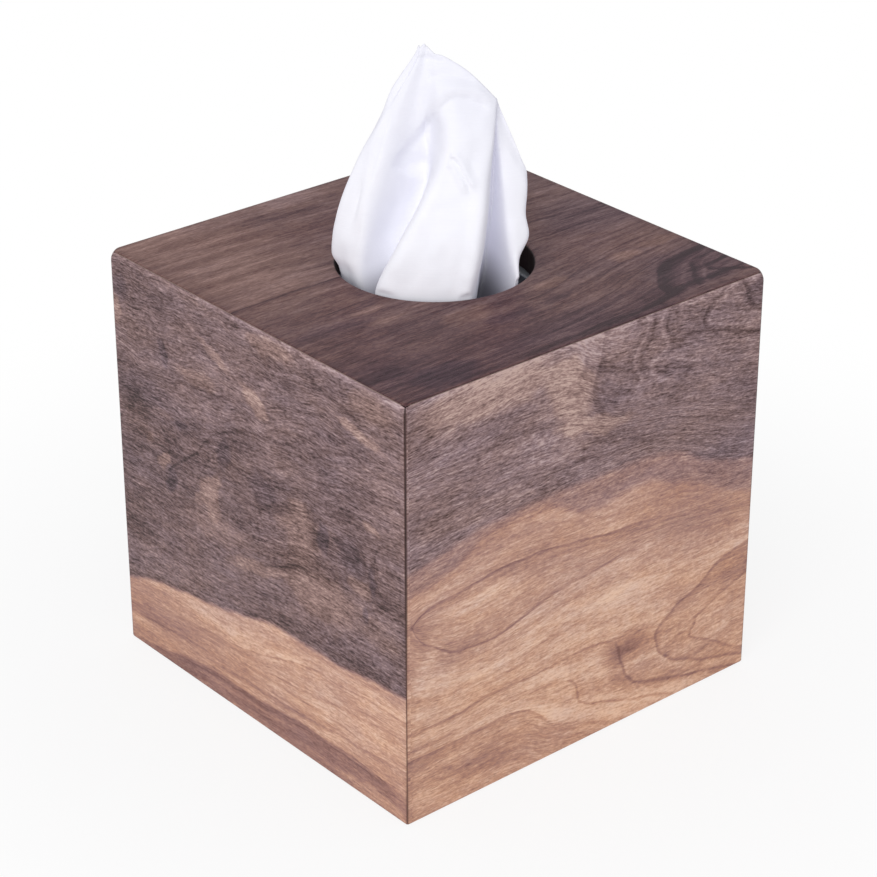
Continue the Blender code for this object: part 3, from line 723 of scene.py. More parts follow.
def streaks(board):
    """The board's tone with its streaks, flecks and pores along the flow of the grain."""
    finish = board.finish
    bend = board.flow - board.v
    mottle = board.cells(MOTTLE_CELL, MOTTLE_CELL / MOTTLE_SQUASH, 16, 2.0, 0.6)
    change = mottle * strength(board, *MOTTLE_STRENGTH)
    for index, (along, across, share, *strengths) in enumerate(GRAIN_LAYERS):
        flow = board.v + bend * share
        layer = finish.noise(board.u / along, flow / across, board.seed + 10 + index, 1.0, 0.7)
        change = change + layer * strength(board, *strengths)

    # Pores lie along the finest layer's flow
    pores = finish.noise(board.u / PORE_LENGTH, flow / PORE_WIDTH, board.seed + 17, 0.0)
    pores = finish.smooth(pores, *PORE_OPENING)
    return board.tone + change - pores * PORE_TONE, change, pores


# Gloss of oiled walnut and of tissue, and the walnut's roughness, in its pores and along its pale streaks
GLOSS = 0.14
OILED_ROUGHNESS = 0.50
PORE_ROUGHNESS = 0.12
STREAK_POLISH = 0.10
GRAIN_RELIEF = 0.06 * MM

# Colour that drifts over each board between two casts
WARM = (1.10, 1.0, 0.91, 1.0)
COOL = (0.95, 0.95, 1.07, 1.0)
CAST_STRENGTH = 1.5

# Upright boards are paler along their edges, partly rubbed wear and partly a painted highlight of the
# arrises: the width of the band, how softly it comes in at the sides and below the upper edge, the heights
# over which it comes in, and how much paler it is
EDGE_BAND = 1.3
EDGE_BAND_SOFT = 0.5
EDGE_BAND_ABOVE = 1.2
EDGE_HEIGHTS = (60, 90)
EDGE_WEAR_AND_HIGHLIGHT_TONE = 0.09
UPPER_EDGE_SHARE = 1.5
EDGE_WEAR = 1.6

# The top is a little darker along its rim, a painted shade
RIM_PLACES = (66.0, 69.0)
RIM_SHADE_TONE = 0.03

# Stain in the upright corners: where it starts and is full, in from the side, and how it changes with height
STAIN_COLOUR = srgb(74, 51, 47)
STAIN_START = 0.95
STAIN_FULL = 0.15
STAIN_HEIGHTS = (30, 96)
STAIN_SHARES = (0.2, 0.85)
STAIN_FOOT = (24, 6)
STAIN_FOOT_SHARE = 0.5
STAIN_TOP = (136.6, 135.6)

# Painted shade on the wall of the hole, and the width over which it comes in
BORE_SHADE_COLOUR = srgb(20, 15, 16)
BORE_SHADE_SHARE = 0.9
BORE_EDGE = (0.5, 0.1)


def walnut(name, along, up, seed, tone, tones, figure):
    """Oiled walnut for one board."""
    board = Board(name, along, up, seed, tone)
    finish = board.finish
    figure(board)
    tone, change, pores = streaks(board)

    if name == "top":
        # Painted shade along the top's rim
        rim = finish.maths("MAXIMUM", finish.maths("ABSOLUTE", board.x), finish.maths("ABSOLUTE", board.y))
        colour = finish.ramp(tone - finish.smooth(rim, *RIM_PLACES) * RIM_SHADE_TONE, tones)
    else:
        reach = finish.maths("ABSOLUTE", board.u)
        # Paler edges: partly rubbed wear, partly a painted highlight of the arrises
        inner = HALF_BOARD - EDGE_BAND
        near = finish.smooth(reach, inner, inner + EDGE_BAND_SOFT)
        near = near * finish.smooth(board.v, *EDGE_HEIGHTS)
        below = BOARD_HEIGHT - EDGE_BAND
        above = finish.smooth(board.v, below - EDGE_BAND_ABOVE, below)
        worn = board.cells(5, 5, 22, 2.0) * EDGE_WEAR + 1.0
        tone = tone + finish.maths("MAXIMUM", near, above * UPPER_EDGE_SHARE) * worn * EDGE_WEAR_AND_HIGHLIGHT_TONE
        colour = finish.mix(board.heart, finish.ramp(tone, SAPWOOD), finish.ramp(tone, tones))
    cast = board.cells(26, 11, 20, 2.0) * CAST_STRENGTH + board.warmth
    cast = cast + finish.noise(board.u / 4.5, board.flow / 2.4, seed + 21, 2.0, 0.7)
    cast = finish.mix(finish.smooth(cast, -1.0, 1.0), COOL, WARM)
    colour = finish.node("ShaderNodeMix", {"data_type": "RGBA", "blend_type": "MULTIPLY"},
                         {0: 1.0, 6: colour, 7: cast}, 2)
    if name != "top":
        corner = finish.smooth(reach, HALF_BOARD - STAIN_START, HALF_BOARD - ARRIS_DROP - STAIN_FULL)
        low = finish.smooth(board.v, *STAIN_FOOT) * STAIN_FOOT_SHARE
        upright = finish.maths("MAXIMUM", finish.smooth(board.v, *STAIN_HEIGHTS, *STAIN_SHARES), low)
        colour = finish.mix(corner * upright * finish.smooth(board.v, *STAIN_TOP), colour, STAIN_COLOUR)
    else:
        # Painted shade on the hole's wall and rim in the top board
        radius = finish.maths("SQRT", board.x * board.x + board.y * board.y)
        bore_shade = finish.smooth(radius, *[HOLE_RADIUS / MM + edge for edge in BORE_EDGE])
        colour = finish.mix(bore_shade * BORE_SHADE_SHARE, colour, BORE_SHADE_COLOUR)
    finish.shader.inputs["Specular IOR Level"].default_value = GLOSS
    roughness = OILED_ROUGHNESS + PORE_ROUGHNESS * pores - STREAK_POLISH * change
    finish.paint(Base_Color=colour, Roughness=roughness)
    finish.paint(Normal=finish.bump(change * 0.5 - pores, GRAIN_RELIEF))
    return finish.material


# Rounding of the cover's outer arrises, how far it draws the edge in from each face, and the fuller rounding
# of the four upper corners
ARRIS_RADIUS = 0.8 * MM
ARRIS_STEPS = 4
ARRIS_DROP = ARRIS_RADIUS / MM * (1 - 0.5 ** 0.5)
CORNER_REACH = 3.5 * MM
CORNER_CUTS = (1.3 * MM, 2.0 * MM, 2.7 * MM, CORNER_REACH)
SHARP_ANGLE = 30


def past_core(place, outer, depth):
    """How far a place stands out past a core that lies a depth inside the cover's sides and top."""
    core = outer - Vector((1, 1, 1)) * depth
    offset = Vector([value - max(min(value, limit), -limit) for value, limit in zip(place, core)])
    offset.z = max(offset.z, 0.0)
    return offset


def eased_board(side, material):
    """One board with its outer arrises rounded over, as sanding leaves them."""
    node = side + "_panel"
    bm = bmesh.new()
    bm.from_mesh(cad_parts[node].data)
    bmesh.ops.remove_doubles(bm, verts=bm.verts, dist=MERGE)
    outer = Vector((HALF_WIDTH, HALF_WIDTH, TOP))
    cuts = [ARRIS_RADIUS * (1 - step / ARRIS_STEPS) for step in range(ARRIS_STEPS)] + list(CORNER_CUTS)
    for axis in range(3):
        for out in (1, -1) if axis < 2 else (1,):
            normal = Vector()
            normal[axis] = out
            for cut in cuts:
                parts = bm.verts[:] + bm.edges[:] + bm.faces[:]
                place = normal * (outer[axis] - cut)
                bmesh.ops.bisect_plane(bm, geom=parts, dist=MERGE, plane_co=place, plane_no=normal)
    corner_radius = 2 ** 0.5 * (CORNER_REACH - ARRIS_DROP * MM)
    for vert in bm.verts:
        offset = past_core(vert.co, outer, ARRIS_RADIUS)
        if offset.length > ARRIS_RADIUS:
            vert.co += offset.normalized() * ARRIS_RADIUS - offset
        offset = past_core(vert.co, outer, CORNER_REACH)
        if min(map(abs, offset)) > 0 and offset.length > corner_radius:
            vert.co += offset.normalized() * corner_radius - offset
    bmesh.ops.remove_doubles(bm, verts=bm.verts, dist=MERGE)
    made = finished(side + "_board", bm, material, "cover")
    made.data.set_sharp_from_angle(angle=radians(SHARP_ANGLE))
    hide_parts(node)


def dress_boards():
    """Give each board its walnut and its rounded arrises."""
    for side, (along, up, seed, tone, tones, figure) in {
            "front": ("x", "z", 1.0, 0.97, HEARTWOOD, front_figure),
            "left": ("-y", "z", 21.0, 0.93, HEARTWOOD, left_figure),
            "top": ("x", "y", 41.0, 0.36, TOP_HEARTWOOD, top_figure),
            "right": ("y", "z", 61.0, 0.93, HEARTWOOD, right_figure),
            "back": ("-x", "z", 81.0, 0.93, HEARTWOOD, back_figure)}.items():
        eased_board(side, walnut(side, along, up, seed, tone, tones, figure))


def dress(node, material):
    """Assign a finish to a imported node."""
    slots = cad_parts[node].material_slots
    if not slots:
        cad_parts[node].data.materials.append(material)
    for slot in slots:
        slot.material = material


# Tones of the splines' veneers, of the carton and of the tissue
PLY_TONES = ((0.0, srgb(150, 116, 82)), (0.5, srgb(196, 164, 122)), (1.0, srgb(222, 196, 156)))
CARTON_TONES = ((0.0, srgb(186, 192, 196)), (0.5, srgb(206, 211, 214)), (1.0, srgb(220, 224, 226)))
TISSUE_TONES = ((0.0, srgb(228, 229, 233)), (0.5, srgb(234, 235, 238)), (1.0, srgb(240, 240, 242)))


def ply_finish():
    """Cross-laid veneers of the splines."""
    finish = Finish("spline_ply", Roughness=0.62)
    x, y, z = finish.object_place()
    veneer = finish.noise(x / 30 + y / 30, z / 0.8, 5.0, 2.0)
    fibre = finish.noise((x + y) / 7, (x - y) / 0.6 + z / 0.7, 6.0, 2.0)
    colour = finish.ramp(0.5 + 0.7 * veneer + 0.5 * fibre, PLY_TONES)
    finish.paint(Base_Color=colour, Normal=finish.bump(fibre, 0.00005))
    return finish.material


def carton_finish():
    """Pale coated board with a fine fibre and soft clouds."""
    finish = Finish("coated_board", Roughness=0.5)
    x, y, z = finish.object_place()
    fibre = finish.noise(x / 1.3, y / 1.3 + z / 1.3, 7.0, 3.0, 0.6)
    cloud = finish.noise(x / 24, y / 24 + z / 24, 8.0, 2.0)
    colour = finish.ramp(0.5 + 0.35 * fibre + 0.5 * cloud, CARTON_TONES)
    finish.paint(Base_Color=colour, Roughness=0.52 + 0.2 * fibre, Normal=finish.bump(fibre, 0.00003))
    return finish.material


# Painted light: a glow that lifts the tissue's shade, low down and bluish at its top, with the heights above
# the cover between which one turns into the other
PAINTED_GLOW_STRENGTH = 0.15
LOW_PAINTED_GLOW = (0.70, 0.68, 0.88, 1.0)
HIGH_PAINTED_GLOW = (0.08, 0.05, 0.36, 1.0)
PAINTED_GLOW_HEIGHTS = (12, 66)

# Painted shade in the mouth of the hole, by the height above the cover
SHADE_COLOUR = srgb(96, 94, 102)
SHADE_HEIGHTS = (-13, 5)
SHADE_SHARE = 0.85


def tissue_finish():
    """Soft two-ply tissue with a fine crepe, with painted shade low in the hole and a painted glow."""
    finish = Finish("tissue_paper", Roughness=0.92)
    x, y, z = finish.object_place()
    crepe = finish.noise((x + y) / 2.4, z / 0.32, 9.0, 2.0, 0.6)
    cloud = finish.noise((x - y) / 9, z / 13, 10.0, 2.0)
    colour = finish.ramp(0.5 + 0.5 * crepe + 0.6 * cloud, TISSUE_TONES)
    above = z - TOP / MM
    # Painted shade: the tissue turns grey low in the hole's mouth
    shade = finish.smooth(above, *SHADE_HEIGHTS, SHADE_SHARE, 0.0)
    colour = finish.mix(shade, colour, SHADE_COLOUR)
    finish.shader.inputs["Specular IOR Level"].default_value = GLOSS
    # Painted light: the tissue glows though no lamp lights it, and not where its painted shade lies
    finish.shader.inputs["Emission Strength"].default_value = PAINTED_GLOW_STRENGTH
    painted_glow = finish.mix(finish.smooth(above, *PAINTED_GLOW_HEIGHTS), LOW_PAINTED_GLOW, HIGH_PAINTED_GLOW)
    finish.paint(Base_Color=colour, Emission_Color=finish.mix(shade, painted_glow, BLACK))
    finish.paint(Roughness=0.9 + 0.1 * cloud, Normal=finish.bump(crepe, 0.00005))
    return finish.material


def finished(name, bm, material, body):
    """Turn a bmesh into a piece that rides on a body."""
    mesh = bpy.data.meshes.new(name)
    bm.to_mesh(mesh)
    bm.free()
    made = bpy.data.objects.new(name, mesh)
    bpy.context.scene.collection.objects.link(made)
    mesh.materials.append(material)
    mesh.shade_smooth()
    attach(made, body)
    return made


# Drawn tissue. Each fold line runs up from the hole; they follow one another from one side edge of the
# sheet round to the other. First comes the height of its top above the cover, then its place to the right
# and forward, as the camera sees it, at even steps from the hole to its top, all in millimetres. Below the
# hole the sheet narrows to a share of its width there.
TISSUE_TURN = -40.4
NECK_SHARE = 0.74
FOLD_LINES = {
    "inner_edge": (37.3, (3.5, -5), (3.4, -5), (3.2, -4.7), (3, -4.4), (2.6, -4), (2, -3.5)),
    "back_left": (47, (-15, -7), (-14.5, -6.5), (-13.5, -5.5), (-12.3, -4.8), (-10.5, -4), (-8.8, -3)),
    "left_turn": (66.2, (-28.7, 4), (-28.4, 5.5), (-24.6, 5), (-19.2, 3.5), (-12.8, 2), (-5, 0.5)),
    "left_ridge": (67.3, (-26.2, 10.5), (-24.6, 11.2), (-21.2, 10), (-16.6, 7.6), (-11, 4.4), (-4.1, 1)),
    "left_panel": (68.4, (-22.2, 14.5), (-19.8, 12.6), (-16.8, 10.8), (-13.0, 8.2), (-8.6, 4.9), (-3.1, 1)),
    "soft_valley": (67.6, (-14.5, 7.5), (-12.4, 3.6), (-7.8, 2.8), (-5.6, 3.8), (-4.6, 3.4), (-2.2, 0.9)),
    "tuck_inner": (66.6, (-9, 6), (-4.5, 1.0), (-1.8, 1.6), (-1.4, 4), (-1.8, 4.6), (-1, 1.5)),
    "tuck_outer": (65.7, (-17.3, 23.8), (-11.2, 23), (-3.6, 18.6), (2.4, 13.6), (1.6, 8.2), (0.2, 2)),
    "front_left": (65, (-7, 28), (-2.5, 25.8), (2, 21), (6.2, 15), (5.4, 9), (3.2, 2.7)),
    "front_middle": (60.8, (5, 28.6), (7, 26.5), (9, 21.5), (10.5, 15.5), (11, 9.5), (10, 3.5)),
    "left_lip": (53.4, (11.4, 25.6), (13.4, 24.2), (14.7, 20.4), (15.5, 15.5), (16.8, 10.2), (17.4, 4.2)),
    "valley_floor": (52, (15.2, -5), (16, -1), (16.8, 2), (17.1, 4), (17.4, 4.6), (18, 2.8)),
    "right_lip": (50.2, (23.2, 15.6), (21.8, 13), (21.2, 10.5), (20.4, 8.5), (19.5, 5.5), (18.7, 2.2)),
    "right_turn": (29.6, (24.3, 15), (24.9, 12), (27.2, 9.8), (26.4, 8.6), (26.9, 7), (26.4, 4.6)),
    "back_right": (36, (15, -8), (15.5, -8), (15, -7.5), (14.5, -7), (13.5, -6), (12.5, -5)),
    "outer_edge": (30, (-4.5, -10), (-4.4, -9.8), (-4.2, -9.2), (-4, -8.6), (-3.6, -8), (-3.2, -7.5)),
}
STEPS = 5
COLUMNS_PER_SPAN = 12
ROWS_BELOW = 12
ROWS_ABOVE = 90
SHEET_THICKNESS = 0.3 * MM

# Creases pressed into the front of the sheet: the places each one runs through, to the right of the hole's
# middle and up from it as the camera sees them; how far the sheet stands out on its right and on its left,
# the widths over which that dies away, and the width over which it starts.
CREASES = (
    (((18.2, 45.7), (14.5, 47.9), (10.7, 49.6), (6.9, 50.1), (3.8, 49.4), (0.8, 46.4), (-1.5, 43.4),
      (-2.4, 40.4), (-2.6, 37.3), (-1.5, 33.5), (0.8, 29.8), (3.1, 27.5)), 0.9, -1.1, 6.0, 8.0, 2.0),
    (((4.2, 30.6), (5.6, 30.2), (6.9, 28.7), (8.0, 26.5), (9.9, 22.9), (11.2, 19.6)),
     1.3, 1.6, 4.0, 4.0, 1.5),
    (((-14.2, 27.0), (-13.2, 30.5), (-8.5, 36.5), (-4.5, 41.5), (-1.0, 46.0)), -1.7, 0.3, 12.0, 3.0, 3.6),
    (((-13.2, 30.5), (-9.0, 26.2), (-5.0, 26.4), (1.2, 28.6)), 0.25, -0.6, 3.0, 7.0, 2.5),
    (((-6.5, 61.6), (-1, 61.8), (4.6, 60.8)), -1.1, 0.4, 3.0, 2.0, 1.5),
    (((-2.2, 56.3), (6, 56.6), (14.5, 54.2)), -0.9, 0.4, 3.4, 3.0, 1.6),
)

# Shares of a crease's length: where it is full after its start, and from where it dies away to its end
CREASE_ENDS = (0.08, 0.78)

# Hollows pressed into the front: the seen middle, the radius and the depth
HOLLOWS = (
    ((9.5, 37.0), 8.5, 0.8),
    ((5.0, 8.0), 9.0, 0.5),
)

# Wrinkles in the front: the size of their cells and their depth. And in the back: how fast they change
# across and up, and how deep they are.
WRINKLES = ((9.0, 0.5), (4.0, 0.2))
WRINKLE_SQUASH = 0.8
BACK_WRINKLE = (1.6, 0.09, 1.6)
BACK_WRINKLE_HEIGHTS = (0.0, 12.0)

# Where the relief of the front comes in: fold lines at its left and at its right, heights at the hole, and
# the share of the rise from which it dies away towards the tip
FRONT_LEFT = (2.6, 4.0)
FRONT_RIGHT = (12.8, 12.0)
FRONT_HEIGHTS = (-4.0, 6.0)
CALM_SHARE = 0.96

# The left side is drawn in at the hole's rim and hangs over it just above: fold lines and heights
LEFT_START = (0.9, 2.0)
TUCK = 0.045
TUCK_END = (6.6, 4.6)
TUCK_HEIGHTS = (5.0, -3.0)
OVERHANG = 1.2
OVERHANG_END = (4.2, 2.4)
OVERHANG_RISE = (0.3, 5.5)
OVERHANG_FALL = (18.0, 6.0)

# Room between the sheet and the hole's wall, and how much wider the sheet may stand above the hole
HOLE_ROOM = 0.7
FLARE = 6
FLARE_HEIGHTS = (0.0, 8.0)


def blend(values, place):
    """A smooth curve through values that lie one apart, read at a place."""
    last = len(values) - 1
    start = min(int(place), last - 1)
    t = place - start
    before, here = values[max(start - 1, 0)], values[start]
    after, beyond = values[start + 1], values[min(start + 2, last)]
    return ((here * 2) + (after - before) * t + (before * 2 - here * 5 + after * 4 - beyond) * t ** 2
            + (here * 3 - before - after * 3 + beyond) * t ** 3) / 2


def ease(value, start, end):
    """A smooth step from 0 at start to 1 at end."""
    share = min(max((value - start) / (end - start), 0.0), 1.0)
    return share * share * (3 - 2 * share)


def crease_relief(seen, places, right, left, right_width, left_width, edge):
    """How far a crease moves the sheet at one seen place."""
    nearest = None
    for index in range(len(places) - 1):
        start = Vector(places[index])
        run = Vector(places[index + 1]) - start
        share = (seen - start).dot(run) / run.length_squared
        share = min(max(share, 0.0), 1.0)
        offset = seen - start - run * share
        if nearest is None or offset.length < nearest[0]:
            side = run.cross(offset)
            nearest = (offset.length, side, (index + share) / (len(places) - 1))
    distance, side, along = nearest
    ends = ease(along, 0.0, CREASE_ENDS[0]) * ease(along, 1.0, CREASE_ENDS[1])
    depth, width = (left, left_width) if side > 0 else (right, right_width)
    return depth * ease(distance, 0.0, edge) * (1 - ease(distance, 0.0, width)) * ends


def seen_place(place, height):
    """A place of the sheet as the camera sees it, to the right of the hole's middle and up from it."""
    tilt = radians(CAMERA_ELEVATION)
    away = CAMERA_PLACE.xy.length / MM
    below = (CAMERA_PLACE.z - TOP) / MM
    hole_depth = away * cos(tilt) + below * sin(tilt)
    hole_rise = away * sin(tilt) - below * cos(tilt)
    depth = (away - place.y) * cos(tilt) + (below - height) * sin(tilt)
    rise = (away - place.y) * sin(tilt) - (below - height) * cos(tilt)
    scale = hole_depth / depth
    return Vector((place.x * scale, rise * scale - hole_rise))


def relief(place, height):
    """Creases, hollows and wrinkles, as a move towards the camera."""
    seen = seen_place(place, height)
    total = sum(crease_relief(seen, *crease) for crease in CREASES)
    for middle, radius, depth in HOLLOWS:
        total += depth * (1 - ease((seen - Vector(middle)).length, 0.0, radius))
    for cell, depth in WRINKLES:
        total += depth * noise.noise(Vector((seen.x / cell, seen.y / cell * WRINKLE_SQUASH, cell)))
    return total


def tissue_point(column, row):
    """The point of the sheet at a column of the fold lines and a row of the mesh."""
    lines = list(FOLD_LINES.values())
    if row < ROWS_BELOW:
        up_share = row / ROWS_BELOW
        narrow = NECK_SHARE + (1 - NECK_SHARE) * ease(up_share, 0.0, 1.0)
        places = [Vector(line[1]) * narrow for line in lines]
        height = (TISSUE_FOOT - TOP) / MM * (1 - up_share)
        calm = 1.0
    else:
        rise_share = (row - ROWS_BELOW) / ROWS_ABOVE
        places = [blend([Vector(station) for station in line[1:]], rise_share * STEPS) for line in lines]
        height = blend([line[0] for line in lines], column) * rise_share
        calm = ease(rise_share, 1.0, CALM_SHARE)
    place = blend(places, column)
    front = ease(column, *FRONT_LEFT) * ease(column, *FRONT_RIGHT) * ease(height, *FRONT_HEIGHTS)
    if front > 0:
        place.y += relief(place, height) * front * calm
    if front < 1:
        across, up, depth = BACK_WRINKLE
        wrinkle = noise.noise(Vector((column * across, height * up, 5.0)))
        wrinkle *= depth * (1 - front) * ease(height, *BACK_WRINKLE_HEIGHTS) * calm
        place -= place.normalized() * wrinkle
    left = ease(column, *LEFT_START)
    place *= 1 - TUCK * left * ease(column, *TUCK_END) * ease(height, *TUCK_HEIGHTS)
    leaning = left * ease(column, *OVERHANG_END)
    place.x -= OVERHANG * leaning * ease(height, *OVERHANG_RISE) * ease(height, *OVERHANG_FALL)
    room = HOLE_RADIUS / MM - HOLE_ROOM + FLARE * ease(height, *FLARE_HEIGHTS)
    if place.length > room:
        place *= room / place.length
    return Vector((place.x * MM, -place.y * MM, TOP + height * MM))


def drawn_tissue(material):
    """The tissue that stands up through the hole, one sheet given its thickness by a modifier."""
    spans = len(FOLD_LINES) - 1
    columns = spans * COLUMNS_PER_SPAN
    rows = ROWS_BELOW + ROWS_ABOVE
    bm = bmesh.new()
    bmesh.ops.create_grid(bm, x_segments=columns, y_segments=rows, size=1.0)
    for vert in bm.verts:
        column = (vert.co.x + 1) / 2 * spans
        row = round((vert.co.y + 1) / 2 * rows)
        vert.co = tissue_point(column, row)
    turn = Matrix.Rotation(radians(TISSUE_TURN), 3, "Z")
    bmesh.ops.rotate(bm, verts=bm.verts, cent=(0, 0, 0), matrix=turn)
    made = finished("pulled_tissue", bm, material, "tissue")
    sheet = made.modifiers.new("sheet", "SOLIDIFY")
    sheet.thickness = SHEET_THICKNESS
    sheet.offset = 0.0
    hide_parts("drawn_tissue")


# Folded tissues
LAYERS = 54
LAYER_CREASE = 0.35 * MM
LAYER_WANDER = 0.45 * MM
CROWN_RADIUS = 26 * MM
BLOCK_CORNER = 2.0 * MM
BLOCK_HEADROOM = 0.05 * MM
RING_STEPS = 28

# Outline of one layer: shares of its height, and how far it is drawn in there
LAYER_PROFILE = ((0.04, LAYER_CREASE), (0.28, 0.0), (0.72, 0.0), (0.96, LAYER_CREASE))


def block_outline(low, high, height, inset):
    """Outline of the block at one height: a rectangle with small round corners, drawn in at the crown."""
    rise = high.z - height
    drawn_in = 0.0
    if rise < CROWN_RADIUS:
        drawn_in = CROWN_RADIUS - (CROWN_RADIUS ** 2 - (CROWN_RADIUS - rise) ** 2) ** 0.5
    half_x = (high.x - low.x) / 2 - drawn_in - inset
    half_y = (high.y - low.y) / 2 - inset
    corner = min(BLOCK_CORNER, half_x * 0.5)
    outline = []
    for quarter, (side_x, side_y) in enumerate(((1, 1), (-1, 1), (-1, -1), (1, -1))):
        for step in range(RING_STEPS // 4 + 1):
            angle = pi / 2 * (quarter + step / (RING_STEPS // 4))
            outline.append((side_x * (half_x - corner) + corner * cos(angle),
                            side_y * (half_y - corner) + corner * sin(angle)))
    return outline


def folded_tissues(material):
    """The block of folded tissues in the carton, each layer a little in or out of line."""
    low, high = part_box("tissue_stack")
    pitch = (high.z - low.z) / LAYERS
    chance = Random(7)
    bm = bmesh.new()
    rings = []
    for layer in range(LAYERS):
        foot = low.z + layer * pitch
        inset = LAYER_WANDER * chance.random()
        for share, crease in LAYER_PROFILE:
            height = min(foot + pitch * share, high.z - BLOCK_HEADROOM)
            outline = block_outline(low, high, height, inset + crease)
            rings.append([bm.verts.new((x, y, height)) for x, y in outline])
    for lower, upper in zip(rings, rings[1:]):
        for index in range(len(lower)):
            after = (index + 1) % len(lower)
            bm.faces.new((lower[index], lower[after], upper[after], upper[index]))
    bm.faces.new(list(reversed(rings[0])))
    bm.faces.new(rings[-1])
    bmesh.ops.recalc_face_normals(bm, faces=bm.faces)
    made = finished("folded_tissues", bm, material, "carton")
    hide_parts("tissue_stack")


# Glue in the mitres, set in from the cover's faces and short of its corners
GLUE_THICKNESS = 0.26 * MM
GLUE_OUTER = 0.5 * MM
GLUE_DEPTH = 1.1 * MM
GLUE_END = 2.3 * MM
GLUE_FOOT = 0.2 * MM

# Colour of the glue: low and high in the upright joints, with the heights between, and above them, where it
# is paler, partly sanding dust and partly a painted highlight of the top's arrises
GLUE_LOW = srgb(122, 90, 78)
GLUE_HIGH = srgb(68, 48, 46)
GLUE_HEIGHTS = (36, 76)
GLUE_TOP_WEAR_AND_HIGHLIGHT = srgb(158, 134, 126)
GLUE_TOP_DROPS = (2.0, 1.2)


def glue_lines(material):
    """Thin lines of glue that close the mitres at the eight visible edges."""
    middle = HALF_WIDTH - GLUE_OUTER - GLUE_DEPTH / 2
    width = GLUE_DEPTH * 2 ** 0.5
    bm = bmesh.new()
    for side_x, side_y in ((1, 1), (1, -1), (-1, 1), (-1, -1)):
        length = TOP - GLUE_END - GLUE_FOOT
        place = Vector((side_x * middle, side_y * middle, GLUE_FOOT + length / 2))
        bar(bm, (width, GLUE_THICKNESS, length), place, "Z", 45 * side_x * side_y)
    height = TOP - GLUE_OUTER - GLUE_DEPTH / 2
    length = 2 * (HALF_WIDTH - GLUE_END)
    for side in (1, -1):
        bar(bm, (GLUE_THICKNESS, length, width), Vector((side * middle, 0, height)), "Y", 45 * side)
        bar(bm, (length, GLUE_THICKNESS, width), Vector((0, side * middle, height)), "X", -45 * side)
    made = finished("glue_lines", bm, material, "cover")
    made.data.shade_flat()


def bar(bm, size, place, axis, turn):
    """A straight bar, turned about one axis and set in place."""
    verts = bmesh.ops.create_cube(bm, size=1.0)["verts"]
    bmesh.ops.scale(bm, vec=size, verts=verts)
    bmesh.ops.rotate(bm, verts=verts, cent=(0, 0, 0), matrix=Matrix.Rotation(radians(turn), 3, axis))
    bmesh.ops.translate(bm, vec=place, verts=verts)


def glue_finish():
    """Glue: dark in the upright joints, pale along the top edges, partly sanding dust and partly a painted
    highlight.
    """
    finish = Finish("glue_line", Roughness=0.6)
    x, y, z = finish.object_place()
    # Paler glue along the top edges: partly dust, partly a painted highlight
    pale_above = finish.smooth(z, *[BOARD_HEIGHT - drop for drop in GLUE_TOP_DROPS])
    dark_above = finish.smooth(z, *GLUE_HEIGHTS)
    upright = finish.mix(dark_above, GLUE_LOW, GLUE_HIGH)
    finish.paint(Base_Color=finish.mix(pale_above, upright, GLUE_TOP_WEAR_AND_HIGHLIGHT))
    return finish.material


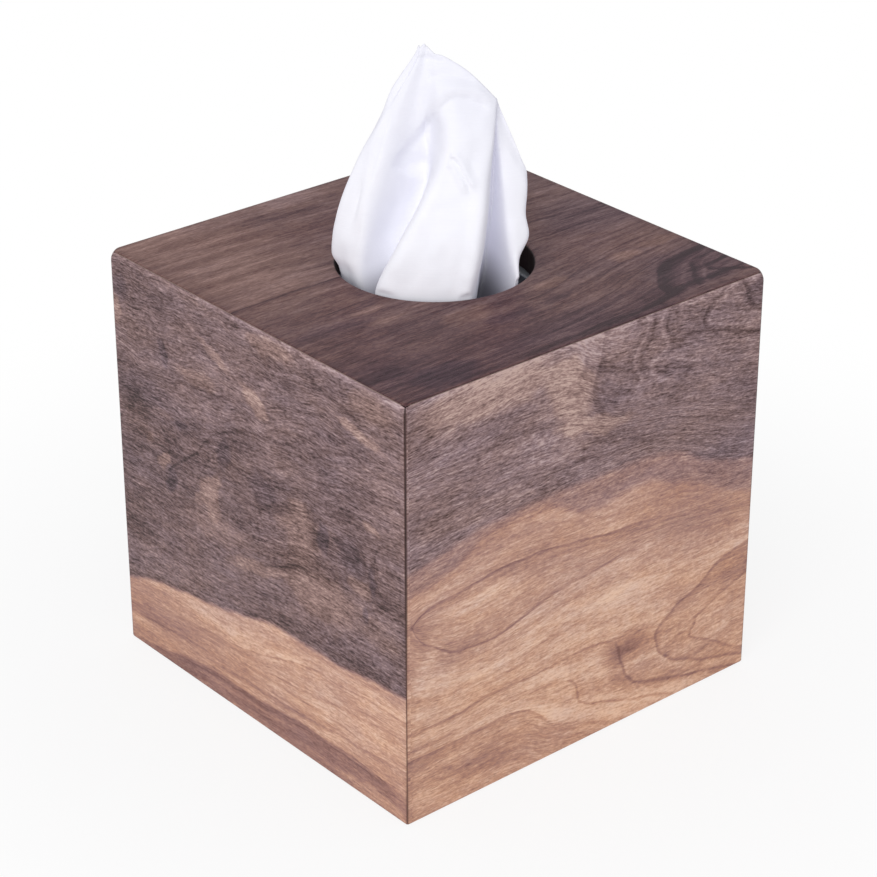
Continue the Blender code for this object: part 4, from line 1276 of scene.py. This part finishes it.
def studio():
    """Plain white sky, one large soft lamp and a pale floor that keeps the shadow."""
    world = bpy.data.worlds.new("pale_room")
    world.use_nodes = True
    bpy.context.scene.world = world
    tree = world.node_tree
    background = tree.nodes["Background"]
    background.inputs["Color"].default_value = SKY_COLOUR
    background.inputs["Strength"].default_value = SKY_STRENGTH
    white = tree.nodes.new("ShaderNodeBackground")
    white.inputs["Color"].default_value = WHITE
    white.inputs["Strength"].default_value = 1.0
    path = tree.nodes.new("ShaderNodeLightPath")
    seen = path.outputs["Is Camera Ray"]
    for kind in ("Is Glossy Ray", "Is Transmission Ray"):
        either = tree.nodes.new("ShaderNodeMath")
        either.operation = "MAXIMUM"
        tree.links.new(seen, either.inputs[0])
        tree.links.new(path.outputs[kind], either.inputs[1])
        seen = either.outputs[0]
    both = tree.nodes.new("ShaderNodeMixShader")
    tree.links.new(seen, both.inputs[0])
    tree.links.new(background.outputs[0], both.inputs[1])
    tree.links.new(white.outputs[0], both.inputs[2])
    tree.links.new(both.outputs[0], tree.nodes["World Output"].inputs["Surface"])

    lamp = bpy.data.lights.new("soft_lamp", "AREA")
    lamp.shape = "SQUARE"
    lamp.size = KEY_SIZE
    lamp.energy = KEY_POWER
    lamp.color = KEY_COLOUR
    key = bpy.data.objects.new("soft_lamp", lamp)
    bpy.context.scene.collection.objects.link(key)
    middle = Vector((0, 0, TOP / 2))
    direction = KEY_DIRECTION.normalized()
    key.location = middle + direction * KEY_DISTANCE
    key.rotation_euler = direction.to_track_quat("Z", "Y").to_euler()

    bm = bmesh.new()
    bmesh.ops.create_circle(bm, cap_ends=True, segments=FLOOR_STEPS, radius=FLOOR_RADIUS)
    mesh = bpy.data.meshes.new("floor")
    bm.to_mesh(mesh)
    bm.free()
    floor = bpy.data.objects.new("floor", mesh)
    bpy.context.scene.collection.objects.link(floor)
    mesh.materials.append(floor_finish())


def floor_finish():
    """Pale floor that fades to plain white away from the object, with the object's shadow kept."""
    finish = Finish("pale_floor", Base_Color=FLOOR_COLOUR, Roughness=0.9)
    x, y, z = finish.object_place()
    radius = finish.maths("SQRT", x * x + y * y)
    near, far = (distance / MM for distance in FLOOR_FADE)
    fade = finish.smooth(radius, near, far, FLOOR_WHITE_SHARE, 1.0)
    path = finish.node("ShaderNodeLightPath", None, None, "Is Camera Ray")
    kinds = path.socket.node.outputs
    seen = path + Wire(finish, kinds["Is Glossy Ray"])
    seen = finish.maths("ADD", seen, Wire(finish, kinds["Is Transmission Ray"]), clamp=True)
    white = finish.node("ShaderNodeEmission", None, {"Color": WHITE, "Strength": 1.0})
    own = Wire(finish, finish.shader.outputs[0])
    both = finish.node("ShaderNodeMixShader", None, {0: fade * seen, 1: own, 2: white})
    finish.feed(finish.tree.nodes["Material Output"].inputs["Surface"], both)
    return finish.material


def camera():
    """The photograph's viewpoint."""
    lens = bpy.data.cameras.new("viewpoint")
    lens.lens = CAMERA_LENS
    lens.sensor_width = CAMERA_SENSOR
    lens.clip_start = CAMERA_NEAR
    made = bpy.data.objects.new("viewpoint", lens)
    bpy.context.scene.collection.objects.link(made)
    made.location = CAMERA_PLACE
    made.rotation_euler = (radians(90 - CAMERA_ELEVATION), 0, radians(CAMERA_AZIMUTH))
    bpy.context.scene.camera = made


camera()
studio()
bpy.context.scene.view_settings.view_transform = "Standard"

dress_boards()
ply = ply_finish()
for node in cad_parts:
    if "spline" in node:
        dress(node, ply)
dress("carton_shell", carton_finish())

paper = tissue_finish()
folded_tissues(paper)
drawn_tissue(paper)
glue_lines(glue_finish())
